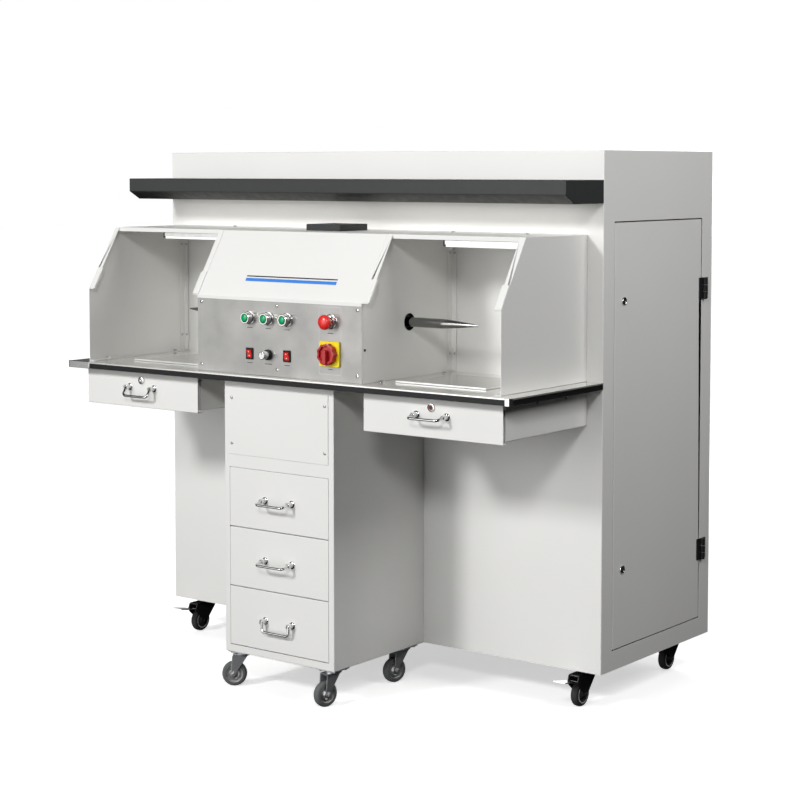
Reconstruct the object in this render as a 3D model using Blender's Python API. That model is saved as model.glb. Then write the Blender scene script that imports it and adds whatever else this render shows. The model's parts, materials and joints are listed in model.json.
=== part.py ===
"""Two-station polishing bench with a built-in dust collector.

A sheet-steel cabinet holds the fan and the filter cartridges. On its front it carries a lamp bar,
a worktop with two open-fronted hoods either side of a control box, two catch drawers that air is
drawn through, and a pedestal with three drawers. Cabinet and pedestal stand on swivel casters.
Units are metres, +Z is up, the floor is z = 0 and the operators stand on the -Y side.
"""

from collections import namedtuple
from math import cos, pi, radians, sin

import bmesh
import bpy
from mathutils import Matrix, Vector

# Sheet, clearances and facets
SHEET = 0.0015          # thickness of the folded steel sheet
GAP = 0.0003            # clearance between pieces that touch or turn in each other
FRONT_GAP = 0.001       # clearance round each drawer front
DOOR_GAP = 0.003        # clearance round the side door
OVERSHOOT = 0.010       # how far a cutter passes the wall that it cuts
ROUND = 16              # facets round a wheel or a motor
FINE = 12               # facets round a pin or a plug

# Heights, stacked from the floor to the top of the cabinet
CASTER_HEIGHT = 0.095
PLINTH_RAIL = 0.0195            # pedestal rail below the lowest drawer
PEDESTAL_DRAWER_HEIGHT = 0.1553
PEDESTAL_DRAWERS = ("lower", "middle", "upper")
MIDDLE_RAIL = 0.0335            # between the drawers and the access panel
ACCESS_HEIGHT = 0.176
TOP_RAIL = 0.034                # between the access panel and the worktop's surface
HOOD_HEIGHT = 0.364
LAMP_RISE = 0.0765              # hood top to lamp bar
LAMP_HEIGHT = 0.0575
LAMP_TO_TOP = 0.073

# Widths, stacked from the middle to the sides
CONTROL_BOX_WIDTH = 0.545
HOOD_WIDTH = 0.4085
CABINET_MARGIN = 0.046          # hood's outer wall to the cabinet's side
WORKTOP_SIDE = 0.002            # worktop's reach past the cabinet's side

# Depths
CABINET_DEPTH = 0.558
HOOD_DEPTH = 0.377              # hoods, control box, pedestal and drawers share this front
HOOD_TOP_DEPTH = 0.275
HOOD_FRONT_HEIGHT = 0.197       # upright part of the hoods' front edge
WORKTOP_OVERHANG = 0.034
WORKTOP_EDGE = 0.017

# Hood details
FRAME_STRIP = 0.0165            # inward flange along the slope
TOP_BAND = 0.011                # flange along the top's front edge
STOP_TAB_LENGTH = 0.066
STOP_TAB_WIDTH = 0.0205
STOP_TAB_PROUD = 0.002
STOP_TAB_DEPTH = 0.005
WALL_FOOT = 0.020               # flange that is bolted to the worktop
REAR_ANGLE = 0.0145             # flange that is bolted to the cabinet

# Air grates in the worktop
GRATE_OFFSET = 0.026            # from the hood's middle towards the control box
GRATE_WIDTH = 0.230
GRATE_DEPTH = 0.200
GRATE_SETBACK = 0.095           # from the hoods' front to the slots
GRATE_SLOTS = 8
GRATE_SLOT_WIDTH = 0.012
WIRING_HOLE = 0.080

# Lamp bar
LAMP_DEPTH = 0.174
LAMP_FACE = 0.036
LAMP_CHAMFER = 0.038
LAMP_MARGIN = 0.020             # rim round the opening under the lamp
LAMP_OPENING = 0.095

# Side door, its hinges and locks
DOOR_FRONT_MARGIN = 0.055
DOOR_REAR_MARGIN = 0.057
DOOR_BOTTOM_MARGIN = 0.053
DOOR_TOP_MARGIN = 0.179
DOOR_RETURN = 0.020
HINGE_INSET = 0.1835            # from the door's ends to the middle of a hinge
HINGE_HEIGHT = 0.056
HINGE_LEAF = 0.023
HINGE_LEAF_THICK = 0.0025
HINGE_BARREL = 0.006            # radius
HINGE_PIN = 0.003               # radius
HINGE_OFFSET = 0.010            # from the door's rear edge to the pin
DOOR_LOCK_INSET = 0.196
DOOR_LOCK_SETBACK = 0.0435
LOCK_FLANGE = 0.0105            # radius
LOCK_FLANGE_THICK = 0.003
LOCK_BARREL = 0.008             # radius
CAM_WIDTH = 0.012
CAM_THICK = 0.002
DOOR_LOCK_DEPTH = 0.030
DOOR_CAM_REACH = 0.055
JAMB_CLEARANCE = 0.001          # from the jamb's edge to the cam behind it

# Inside the cabinet
DECK_DROP = 0.315               # cabinet top to the filter deck
DECK_SIDE_GAP = 0.040           # deck to the door side
LEDGE = 0.020                   # ledges that carry the deck
CARTRIDGE_RADIUS = 0.130
CARTRIDGE_LENGTH = 0.480
CARTRIDGE_WALL = 0.030
CARTRIDGE_PITCH = 0.400
CARTRIDGES = 3
BLOWER_X = 0.120
BLOWER_RADIUS = 0.140
BLOWER_WIDTH = 0.120
BLOWER_WALL = 0.002
BLOWER_FOOT = 0.012
BLOWER_FOOT_PLATE = 0.054       # height of the plates that carry the scroll
BLOWER_OUTLET = 0.090           # height of the outlet duct
BLOWER_OUTLET_DROP = 0.003      # scroll's top to the outlet's top
INLET_RADIUS = 0.080
FAN_MOTOR_RADIUS = 0.070
FAN_MOTOR_LENGTH = 0.180
FAN_SHAFT = 0.010               # radius
FAN_SHAFT_SEAT = 0.060          # length inside the motor
FAN_RADIUS = 0.112
FAN_HUB = 0.022                 # radius
FAN_PLATE = 0.003
FAN_BLADE_INNER = 0.060
FAN_BLADE_WIDTH = 0.075
FAN_BLADE_THICK = 0.002
FAN_BLADES = 10
FAN_BLADE_START = radians(9)    # first blade, from upright
FAN_SIDE_GAP = 0.010
EXHAUST_SLOTS = 4
EXHAUST_SLOT_HEIGHT = 0.012

# Control panel
PANEL_HEIGHT = 0.193
PANEL_FLANGE = 0.012            # control box edge that the panel is screwed to
BUTTON_ROW = 0.146              # above the panel's lower edge
SWITCH_ROW = 0.054
BUTTON_MIDDLE_X = -0.029
BUTTON_PITCH = 0.0625
BEZEL_RADIUS = 0.015
BEZEL_LENGTH = 0.021
BUTTON_RADIUS = 0.0103
BUTTON_PROUD = 0.002
BUTTON_EDGE = 0.002             # rounding of the lens cap
BUTTON_FLANGE = 0.0125          # radius of the shoulder behind the panel
BUTTON_SHOULDER = 0.004
ROCKER_WIDTH = 0.015
ROCKER_HEIGHT = 0.021
ROCKER_RIM = 0.0035
ROCKER_RIM_LENGTH = 0.003
ROCKER_THROW = radians(12)
KNOB_RADIUS = 0.0105
KNOB_LENGTH = 0.020
SKIRT_RADIUS = 0.014
SKIRT_LENGTH = 0.006
KNOB_EDGE = 0.0013              # bevel of the knob and its skirt
POINTER_LENGTH = 0.006
POINTER_WIDTH = 0.0015
POINTER_RISE = 0.0005
KNOB_BUSH = 0.005
KNOB_SHAFT = 0.003              # radius
STOP_X = 0.174
STOP_ROW = 0.148
STOP_RADIUS = 0.019
STOP_HEAD = 0.014
STOP_DOME = 0.008               # rounded part of the head
STOP_DOME_STEPS = 3
STOP_LENGTH = 0.034
STOP_STEM = 0.0105              # radius
STOP_COLLAR = 0.0165            # radius
STOP_COLLAR_LENGTH = 0.010
ISOLATOR_ROW = 0.068
ISOLATOR_PLATE = 0.063
ISOLATOR_PLATE_THICK = 0.006
ISOLATOR_RADIUS = 0.025
ISOLATOR_LENGTH = 0.024
ISOLATOR_STEM = 0.006           # radius
ISOLATOR_LOBES = 8
ISOLATOR_LOBE_DEPTH = 0.0025
LOBE_POINTS = 4
GRIP_WIDTH = 0.013
GRIP_RISE = 0.008
SPIGOT = 0.012                  # length of a control's stem behind the panel

# Vent on the control box
VENT_SIZE = 0.112
VENT_HEIGHT = 0.015
VENT_SETBACK = 0.183            # front of the control box to the vent
VENT_SLOTS = 6
VENT_SLOT_WIDTH = 0.007
VENT_RIM = 0.014

# Spindles and their motors
SPINDLE_SETBACK = 0.192         # from the hoods' front
SPINDLE_RISE = 0.1405           # above the worktop
SPINDLE_RADIUS = 0.0125
SPINDLE_STRAIGHT = 0.105        # outside the control box
SPINDLE_TAPER = 0.107
SPINDLE_TIP = 0.0012            # radius
SPINDLE_HOLE = 0.022            # radius
SPINDLE_SEAT = 0.070            # length inside the motor
MOTOR_RADIUS = 0.068
MOTOR_LENGTH = 0.190
MOTOR_WALL_GAP = 0.018          # motor to the control box side
MOTOR_FOOT = 0.090              # width of the foot
MOTOR_BED = 0.006               # thickness of the bed plate
MOTOR_BED_DEPTH = 0.150

# Drawers
DRAWER_RETURN = 0.018           # folded edge of a drawer front
TRAY_GAP = 0.002                # each side of a tray
PEDESTAL_DRAWER_WIDTH = 0.328
PEDESTAL_SIDE = 0.018           # front frame beside the pedestal's drawers
PEDESTAL_TRAY_LIFT = 0.012
PEDESTAL_TRAY_DEPTH = 0.330
TRAY_RIM_DROP = 0.018           # tray rim below the front's top
RUNNER_OVERLAP = 0.008          # runner under the tray
ACCESS_WIDTH = 0.330
ACCESS_LAP = 0.015              # access panel over the edge of its opening
CATCH_FRONT_WIDTH = 0.410
CATCH_FRONT_HEIGHT = 0.0975
CATCH_OFFSET = 0.005            # from the hood's middle, outwards
HOUSING_WIDTH = 0.400
HOUSING_RISE = 0.005            # housing's floor above the front's lower edge
CATCH_TRAY_DEPTH = 0.330
CATCH_TRAY_HEIGHT = 0.074
LOCK_DROP = 0.024               # catch drawer's top to its lock
CATCH_LOCK_DEPTH = 0.030
CATCH_CAM_REACH = 0.024
CATCH_PULL_DROP = 0.044         # catch drawer's top to its pull
KEEPER_HEIGHT = 0.026           # rail that the lock's cam turns up behind

# Drawer pulls
PULL_SPAN = 0.0893              # between the two ears, and the bail's legs in them
EAR_RADIUS = 0.0065
EAR_LENGTH = 0.019
EAR_SLOT_GAP = 0.0006           # bail's leg to the slot's side
EAR_SLOT_BACK = 0.005           # pivot to the slot's end
PULL_PIVOT = 0.014              # drawer front to the pivot
PULL_REACH = 0.025              # pivot to the bar
PULL_WIRE = 0.0035              # radius
PULL_CORNER = 0.0058
PULL_TIP = 0.003                # leg's end past the pivot
PULL_PIN = 0.002                # radius
PULL_ANGLES = {
    "lower": radians(4),
    "middle": radians(78),
    "upper": radians(78),
    "left": radians(32),
    "right": radians(78),
}

# Casters
Caster = namedtuple(
    "Caster",
    "wheel width trail axle plate fork_gap cheek head head_height cheek_profile tread_inset hub",
)
CASTER_PLATE_THICK = 0.003
KING_PIN = 0.006                # radius
CHEEK_EYE = 0.0054              # metal round the axle in a fork's cheek
CROWN_SETBACK = 0.0036          # broad fork's rear edge inside its head
HUB_WALL = 0.0049
WHEEL_DISH = 0.0048             # recess of the wheel's disc
TREAD_SIDE = 0.0018             # tread's flank inside the hub's face
TREAD_ROUND = 0.006             # rounding of the tread's shoulders
CABINET_CASTER = Caster(
    wheel=0.0315, width=0.024, trail=0.033, axle=0.0045, plate=0.060, fork_gap=0.0012,
    cheek=0.0025, head=0.024, head_height=0.010, cheek_profile="broad", tread_inset=0.004, hub=0.019,
)
PEDESTAL_CASTER = Caster(
    wheel=0.0325, width=0.024, trail=0.025, axle=0.0045, plate=0.058, fork_gap=0.0012,
    cheek=0.0025, head=0.022, head_height=0.010, cheek_profile="narrow", tread_inset=0.004, hub=0.022,
)
CABINET_CASTER_INSET_X = 0.076
CABINET_CASTER_INSET_Y = 0.058
PEDESTAL_CASTER_INSET_X = 0.032
PEDESTAL_CASTER_FRONT = 0.035
PEDESTAL_CASTER_REAR = 0.055
PEDESTAL_YAWS = {
    "front_left": radians(53),
    "front_right": radians(13.5),
    "rear_left": radians(28),
    "rear_right": radians(18),
}
PEDAL_WIDTH = 0.034
PEDAL_THICK = 0.003
PEDAL_LENGTH = 0.058
PEDAL_TILT = radians(11)
PEDAL_PIVOT_RISE = 0.068
PEDAL_PIVOT_AHEAD = 0.030       # ahead of the axle
PEDAL_PIN = 0.003               # radius

# Derived heights
DRAWERS_Z = CASTER_HEIGHT + PLINTH_RAIL
MIDDLE_RAIL_Z = DRAWERS_Z + len(PEDESTAL_DRAWERS) * PEDESTAL_DRAWER_HEIGHT
ACCESS_Z = MIDDLE_RAIL_Z + MIDDLE_RAIL
WORKTOP_Z = ACCESS_Z + ACCESS_HEIGHT + TOP_RAIL
UNDER_TOP_Z = WORKTOP_Z - SHEET - GAP
CATCH_TOP_Z = WORKTOP_Z - WORKTOP_EDGE - GAP
HOOD_FOOT_Z = WORKTOP_Z + GAP
HOOD_TOP_Z = WORKTOP_Z + HOOD_HEIGHT
SLOPE_Z = WORKTOP_Z + HOOD_FRONT_HEIGHT
LAMP_Z = HOOD_TOP_Z + LAMP_RISE
CABINET_TOP_Z = LAMP_Z + LAMP_HEIGHT + LAMP_TO_TOP
DECK_Z = CABINET_TOP_Z - DECK_DROP
SPINDLE_Z = WORKTOP_Z + SPINDLE_RISE

# Derived widths and depths, with y = 0 at the cabinet's front
BOX_HALF = CONTROL_BOX_WIDTH / 2
HOOD_INNER = BOX_HALF + GAP
HOOD_OUTER = BOX_HALF + HOOD_WIDTH
CABINET_HALF = HOOD_OUTER + CABINET_MARGIN
WORKTOP_HALF = CABINET_HALF + WORKTOP_SIDE
FRONT_Y = -HOOD_DEPTH
PANEL_FACE_Y = FRONT_Y - GAP - SHEET
HOOD_MIDDLE = (BOX_HALF + HOOD_OUTER) / 2
CATCH_X = HOOD_MIDDLE + CATCH_OFFSET
PEDESTAL_HALF = PEDESTAL_DRAWER_WIDTH / 2 + PEDESTAL_SIDE
SPINDLE_Y = FRONT_Y + SPINDLE_SETBACK
DOOR_Y = (DOOR_FRONT_MARGIN, CABINET_DEPTH - DOOR_REAR_MARGIN)
DOOR_Z = (CASTER_HEIGHT + DOOR_BOTTOM_MARGIN, CABINET_TOP_Z - DOOR_TOP_MARGIN)
HINGE_X = CABINET_HALF + HINGE_BARREL + GAP
HINGE_Y = DOOR_Y[1] + HINGE_OFFSET
HINGE_ZS = (DOOR_Z[0] + HINGE_INSET, DOOR_Z[1] - HINGE_INSET)
BLOWER_Y = CABINET_DEPTH / 2
BLOWER_Z = DECK_Z + GAP + BLOWER_FOOT + BLOWER_RADIUS
BLOWER_TOP_Z = BLOWER_Z + BLOWER_RADIUS - BLOWER_OUTLET_DROP

# The raised pulls reach furthest forward, and the origin lies midway between them and the cabinet's back
FRONT_REACH = HOOD_DEPTH + PULL_PIVOT + PULL_REACH * sin(max(PULL_ANGLES.values())) + PULL_WIRE
DATUM_Y = (FRONT_REACH - CABINET_DEPTH) / 2


# Shapes

def shape(bm):
    """Turns a bmesh into a scene object with its faces pointing out."""
    bmesh.ops.recalc_face_normals(bm, faces=bm.faces)
    mesh = bpy.data.meshes.new("shape")
    bm.to_mesh(mesh)
    bm.free()
    solid = bpy.data.objects.new("shape", mesh)
    bpy.context.collection.objects.link(solid)
    return solid


def block(x, y, z):
    """A box between pairs of coordinates."""
    pairs = [sorted(pair) for pair in (x, y, z)]
    middle = [(low + high) / 2 for low, high in pairs]
    size = [high - low for low, high in pairs]
    bm = bmesh.new()
    bmesh.ops.create_cube(bm, size=1, matrix=Matrix.Translation(middle) @ Matrix.Diagonal((*size, 1)))
    return shape(bm)


def on_axis(axis, along, across):
    """A point from its place along an axis and its two other coordinates, in X, Y, Z order."""
    first, second = across
    return {"X": (along, first, second), "Y": (first, along, second), "Z": (first, second, along)}[axis]


def prism(outline, axis, start, end):
    """An outline of points across an axis, extruded along it."""
    bm = bmesh.new()
    face = bm.faces.new([bm.verts.new(on_axis(axis, start, point)) for point in outline])
    grown = bmesh.ops.extrude_face_region(bm, geom=[face])["geom"]
    moved = [item for item in grown if isinstance(item, bmesh.types.BMVert)]
    bmesh.ops.translate(bm, verts=moved, vec=on_axis(axis, end - start, (0, 0)))
    return shape(bm)


def rod(axis, across, radius, start, end, facets=FINE):
    """A cylinder along an axis."""
    turn = {"X": Matrix.Rotation(pi / 2, 4, "Y"), "Y": Matrix.Rotation(-pi / 2, 4, "X"), "Z": Matrix()}
    place = Matrix.Translation(on_axis(axis, (start + end) / 2, across)) @ turn[axis]
    bm = bmesh.new()
    bmesh.ops.create_cone(
        bm, cap_ends=True, segments=facets, radius1=radius, radius2=radius,
        depth=abs(end - start), matrix=place,
    )
    return shape(bm)


def turned(profile, axis, across, facets=ROUND):
    """A turned solid from points of place along the axis and radius, with a flat facet lowest."""
    grow = 1 / cos(pi / facets)
    bm = bmesh.new()
    verts = [bm.verts.new((along, 0, -radius * grow)) for along, radius in profile]
    edges = [bm.edges.new(pair) for pair in zip(verts, verts[1:])]
    if min(radius for _, radius in profile) > 0:
        edges.append(bm.edges.new((verts[-1], verts[0])))
    bmesh.ops.rotate(bm, verts=verts, matrix=Matrix.Rotation(pi / facets, 3, "X"))
    bmesh.ops.spin(bm, geom=verts + edges, axis=(1, 0, 0), angle=2 * pi, steps=facets, use_merge=True)
    bmesh.ops.remove_doubles(bm, verts=bm.verts, dist=1e-6)
    turn = {"X": Matrix(), "Y": Matrix.Rotation(pi / 2, 4, "Z"), "Z": Matrix.Rotation(-pi / 2, 4, "Y")}
    bm.transform(Matrix.Translation(on_axis(axis, 0, across)) @ turn[axis])
    return shape(bm)


def folded(path, thickness=SHEET):
    """The outline of a folded sheet, which lies to the left of its path with mitred corners."""
    points = [Vector(point) for point in path]
    runs = [(after - before).normalized() for before, after in zip(points, points[1:])]
    normals = [Vector((-run.y, run.x)) for run in runs]
    inner = [points[0] + normals[0] * thickness]
    for point, before, after in zip(points[1:], normals, normals[1:]):
        inner.append(point + (before + after) * thickness / (1 + before.dot(after)))
    inner.append(points[-1] + normals[-1] * thickness)
    return [tuple(point) for point in points + inner[::-1]]


def rounded_path(corners, radius, steps=3):
    """A path through corner points with each inner corner rounded."""
    points = [Vector(corner) for corner in corners]
    path = [points[0]]
    for before, corner, after in zip(points, points[1:], points[2:]):
        start = corner + (before - corner).normalized() * radius
        end = corner + (after - corner).normalized() * radius
        for step in range(steps + 1):
            share = step / steps
            path.append(start.lerp(corner, share).lerp(corner.lerp(end, share), share))
    path.append(points[-1])
    return path


def wire(path, radius):
    """A round wire along a path, with closed ends."""
    curve = bpy.data.curves.new("wire", "CURVE")
    curve.dimensions = "3D"
    curve.bevel_depth = radius
    curve.bevel_resolution = 1
    curve.use_fill_caps = True
    spline = curve.splines.new("POLY")
    spline.points.add(len(path) - 1)
    for point, place in zip(spline.points, path):
        point.co = (*place, 1)
    guide = bpy.data.objects.new("wire", curve)
    bpy.context.collection.objects.link(guide)
    bm = bmesh.new()
    bm.from_mesh(guide.evaluated_get(bpy.context.evaluated_depsgraph_get()).to_mesh())
    bpy.data.objects.remove(guide)
    bmesh.ops.remove_doubles(bm, verts=bm.verts, dist=1e-6)
    return shape(bm)


def combine(body, tool, operation):
    """Applies one Boolean and removes the tool."""
    modifier = body.modifiers.new(operation, "BOOLEAN")
    modifier.operation = operation
    modifier.solver = "EXACT"
    modifier.object = tool
    mesh = bpy.data.meshes.new_from_object(body.evaluated_get(bpy.context.evaluated_depsgraph_get()))
    body.modifiers.clear()
    body.data = mesh
    bpy.data.objects.remove(tool)


def fuse(solids, cutters=()):
    """Joins solids into the first one, then cuts it."""
    body = solids[0]
    for solid in solids[1:]:
        combine(body, solid, "UNION")
    for cutter in cutters:
        combine(body, cutter, "DIFFERENCE")
    return body


def finish(name, colour, roughness, metallic):
    """A plain painted, metal, plastic or rubber finish."""
    material = bpy.data.materials.new(name)
    material.use_nodes = True
    shader = material.node_tree.nodes["Principled BSDF"]
    shader.inputs["Base Color"].default_value = (*colour, 1)
    shader.inputs["Roughness"].default_value = roughness
    shader.inputs["Metallic"].default_value = metallic
    return material


def node(name, body, material, parent, origin=(0, 0, 0), turn=(0, 0, 0)):
    """Names a piece that was built in place, and gives it its finish, parent and origin.

    The piece is then turned about that origin, and so are the pieces that hang from it.
    """
    body.name = name
    body.data.name = name
    body.data.materials.clear()
    body.data.materials.append(material)
    body.data.transform(Matrix.Translation(-Vector(origin)))
    body.data.shade_smooth()
    body.data.set_sharp_from_angle(angle=radians(30))
    body.parent = parent
    body["built_at"] = origin
    body.location = Vector(origin) - Vector(parent.get("built_at", (0, 0, 0)))
    body.rotation_euler = turn
    return body


# Shared outlines

def slope_point(z):
    """The depth of the hoods' sloping front at a height."""
    share = (z - SLOPE_Z) / (HOOD_TOP_Z - SLOPE_Z)
    return -HOOD_DEPTH + share * (HOOD_DEPTH - HOOD_TOP_DEPTH)


def slope_wedge():
    """Cuts away what stands in front of the hoods' slope, up to the middle of the sheet on it."""
    low = SLOPE_Z - OVERSHOOT
    high = HOOD_TOP_Z + OVERSHOOT
    back = SHEET / 2
    ahead = FRONT_Y - 3 * OVERSHOOT
    outline = [
        (ahead, low), (slope_point(low) + back, low), (slope_point(high) + back, high), (ahead, high),
    ]
    return prism(outline, "X", -HOOD_OUTER - OVERSHOOT, HOOD_OUTER + OVERSHOOT)


def slope_strip(x, low, high, proud, depth):
    """A strip along the hoods' slope, from a little proud of it to some depth inside."""
    run = Vector((HOOD_DEPTH - HOOD_TOP_DEPTH, HOOD_TOP_Z - SLOPE_Z)).normalized()
    outward = Vector((-run.y, run.x))
    ends = [Vector((slope_point(z), z)) for z in (low, high)]
    outline = [end + outward * proud for end in ends] + [end - outward * depth for end in reversed(ends)]
    return prism([tuple(point) for point in outline], "X", *sorted(x))


# Cabinet

def cabinet_body(material, datum):
    """Front, sides and top folded as one, with the door's opening, ducts, ledges and hinge leaves."""
    half = CABINET_HALF
    inner_edge = half - SHEET / 2
    body = block((-half, half), (0, CABINET_DEPTH), (CASTER_HEIGHT, CABINET_TOP_Z))
    cutters = [
        block(
            (-half + SHEET, half - SHEET),
            (SHEET, CABINET_DEPTH + OVERSHOOT),
            (CASTER_HEIGHT - OVERSHOOT, CABINET_TOP_Z - SHEET),
        ),
        block(
            (half - OVERSHOOT, half + OVERSHOOT),
            (DOOR_Y[0] - DOOR_GAP, DOOR_Y[1] + DOOR_GAP),
            (DOOR_Z[0] - DOOR_GAP, DOOR_Z[1] + DOOR_GAP),
        ),
    ]
    for side in (-1, 1):
        reach = HOUSING_WIDTH / 2 - LEDGE
        cutters.append(block(
            (side * CATCH_X - reach, side * CATCH_X + reach),
            (-OVERSHOOT, OVERSHOOT),
            (CATCH_TOP_Z - CATCH_FRONT_HEIGHT + LEDGE, CATCH_TOP_Z),
        ))
    fuse([body], cutters)
    jamb_y = DOOR_Y[0] - DOOR_GAP
    jamb_x = half - DOOR_LOCK_DEPTH + CAM_THICK + JAMB_CLEARANCE
    ledge_z = (DECK_Z - 2 * SHEET - GAP, DECK_Z - SHEET - GAP)
    extras = [
        block((jamb_x, inner_edge), (jamb_y - SHEET, jamb_y - GAP), DOOR_Z),
        block((-inner_edge, half - DECK_SIDE_GAP), (SHEET / 2, LEDGE), ledge_z),
        block((-inner_edge, -half + LEDGE), (SHEET / 2, CABINET_DEPTH - LEDGE), ledge_z),
    ]
    for z in HINGE_ZS:
        knuckle = HINGE_HEIGHT / 3
        ends = (z - HINGE_HEIGHT / 2, z + HINGE_HEIGHT / 2)
        middle = (z - knuckle / 2 + GAP, z + knuckle / 2 - GAP)
        leaf_x = (inner_edge, half + HINGE_LEAF_THICK)
        clear = HINGE_BARREL + 2 * GAP
        extras += [
            block(leaf_x, (HINGE_Y + clear, HINGE_Y + HINGE_LEAF), ends),
            block(leaf_x, (HINGE_Y, HINGE_Y + clear + SHEET), middle),
            rod("Z", (HINGE_X, HINGE_Y), HINGE_BARREL, *middle),
            rod("Z", (HINGE_X, HINGE_Y), HINGE_PIN, *ends),
        ]
    return node("cabinet_body", fuse([body] + extras), material, datum)


def cabinet_base(material, datum):
    """Floor of the cabinet with the four caster plates under it."""
    reach = CABINET_HALF - SHEET - GAP
    floor = block(
        (-reach, reach),
        (SHEET + GAP, CABINET_DEPTH - SHEET - 2 * GAP),
        (CASTER_HEIGHT, CASTER_HEIGHT + 2 * SHEET),
    )
    plates = [caster_plate(place, CABINET_CASTER) for place in cabinet_caster_places().values()]
    holes = [king_pin_hole(place) for place in cabinet_caster_places().values()]
    return node("cabinet_base", fuse([floor] + plates, holes), material, datum)


def rear_panel(material, datum):
    """Back of the cabinet, with exhaust slots behind the blower's outlet."""
    reach = CABINET_HALF - SHEET - GAP
    panel = block(
        (-reach, reach),
        (CABINET_DEPTH - SHEET, CABINET_DEPTH),
        (CASTER_HEIGHT, CABINET_TOP_Z - SHEET - GAP),
    )
    top = BLOWER_TOP_Z - BLOWER_WALL
    pitch = (BLOWER_OUTLET - 2 * BLOWER_WALL) / EXHAUST_SLOTS
    half = BLOWER_WIDTH / 2 - 2 * BLOWER_WALL
    slots = []
    for index in range(EXHAUST_SLOTS):
        z = top - (index + 0.5) * pitch
        slots.append(block(
            (BLOWER_X - half, BLOWER_X + half),
            (CABINET_DEPTH - OVERSHOOT, CABINET_DEPTH + OVERSHOOT),
            (z - EXHAUST_SLOT_HEIGHT / 2, z + EXHAUST_SLOT_HEIGHT / 2),
        ))
    return node("rear_panel", fuse([panel], slots), material, datum)


def side_door(material, datum):
    """Folded door with its hinge leaves and knuckles, hinged at its rear edge."""
    half = CABINET_HALF
    path = [
        (half - DOOR_RETURN, DOOR_Y[0]), (half, DOOR_Y[0]),
        (half, DOOR_Y[1]), (half - DOOR_RETURN, DOOR_Y[1]),
    ]
    door = prism(folded(path), "Z", *DOOR_Z)
    leaves = []
    pin_holes = []
    for z in HINGE_ZS:
        ends = (z - HINGE_HEIGHT / 2, z + HINGE_HEIGHT / 2)
        knuckle = HINGE_HEIGHT / 3
        leaf_end = half + HINGE_LEAF_THICK
        leaves.append(block(
            (half - SHEET / 2, leaf_end), (HINGE_Y - HINGE_LEAF, DOOR_Y[1] - SHEET / 2), ends,
        ))
        for low, high in ((ends[0], z - knuckle / 2 - GAP), (z + knuckle / 2 + GAP, ends[1])):
            bridge_x = (half + 2 * GAP, leaf_end)
            leaves.append(block(bridge_x, (DOOR_Y[1] - 2 * SHEET, HINGE_Y), (low, high)))
            leaves.append(rod("Z", (HINGE_X, HINGE_Y), HINGE_BARREL, low, high))
        pin_holes.append(rod(
            "Z", (HINGE_X, HINGE_Y), HINGE_PIN + GAP, ends[0] - OVERSHOOT, ends[1] + OVERSHOOT,
        ))
    lock_holes = [
        rod("X", (y, z), LOCK_BARREL + GAP, half - OVERSHOOT, half + OVERSHOOT)
        for y, z in door_lock_places().values()
    ]
    body = fuse([door] + leaves, pin_holes + lock_holes)
    return node("side_door", body, material, datum, origin=(HINGE_X, HINGE_Y, DOOR_Z[0]))


def door_lock_places():
    """Where the door's two locks sit, as depth and height."""
    y = DOOR_Y[0] + DOOR_LOCK_SETBACK
    return {"lower": (y, DOOR_Z[0] + DOOR_LOCK_INSET), "upper": (y, DOOR_Z[1] - DOOR_LOCK_INSET)}


def door_lock(name, y, z, material, door):
    """Lock plug with a cam, which hangs down when unlocked and turns forward behind the jamb."""
    half = CABINET_HALF
    flange = rod("X", (y, z), LOCK_FLANGE, half + GAP, half + GAP + LOCK_FLANGE_THICK)
    barrel = rod("X", (y, z), LOCK_BARREL, half - DOOR_LOCK_DEPTH, half + LOCK_FLANGE_THICK / 2)
    cam = block(
        (half - DOOR_LOCK_DEPTH, half - DOOR_LOCK_DEPTH + CAM_THICK),
        (y - CAM_WIDTH / 2, y + CAM_WIDTH / 2),
        (z - DOOR_CAM_REACH, z),
    )
    return node(name, fuse([barrel, flange, cam]), material, door, origin=(half, y, z))


# Filter and blower inside the cabinet

def filter_bank(material, datum):
    """Deck across the cabinet with hollow filter cartridges hanging under it."""
    deck = block(
        (-CABINET_HALF + SHEET + GAP, CABINET_HALF - DECK_SIDE_GAP),
        (SHEET + GAP, CABINET_DEPTH - SHEET - 2 * GAP),
        (DECK_Z - SHEET, DECK_Z),
    )
    y = CABINET_DEPTH / 2
    floor = DECK_Z - CARTRIDGE_LENGTH
    bore = CARTRIDGE_RADIUS - CARTRIDGE_WALL
    cartridges = []
    bores = []
    for index in range(CARTRIDGES):
        x = (index - (CARTRIDGES - 1) / 2) * CARTRIDGE_PITCH
        cartridges.append(rod("Z", (x, y), CARTRIDGE_RADIUS, floor, DECK_Z - SHEET / 2, ROUND))
        bores.append(rod("Z", (x, y), bore, floor + CARTRIDGE_WALL, DECK_Z + OVERSHOOT, ROUND))
    return node("filter_bank", fuse([deck] + cartridges, bores), material, datum)


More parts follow.
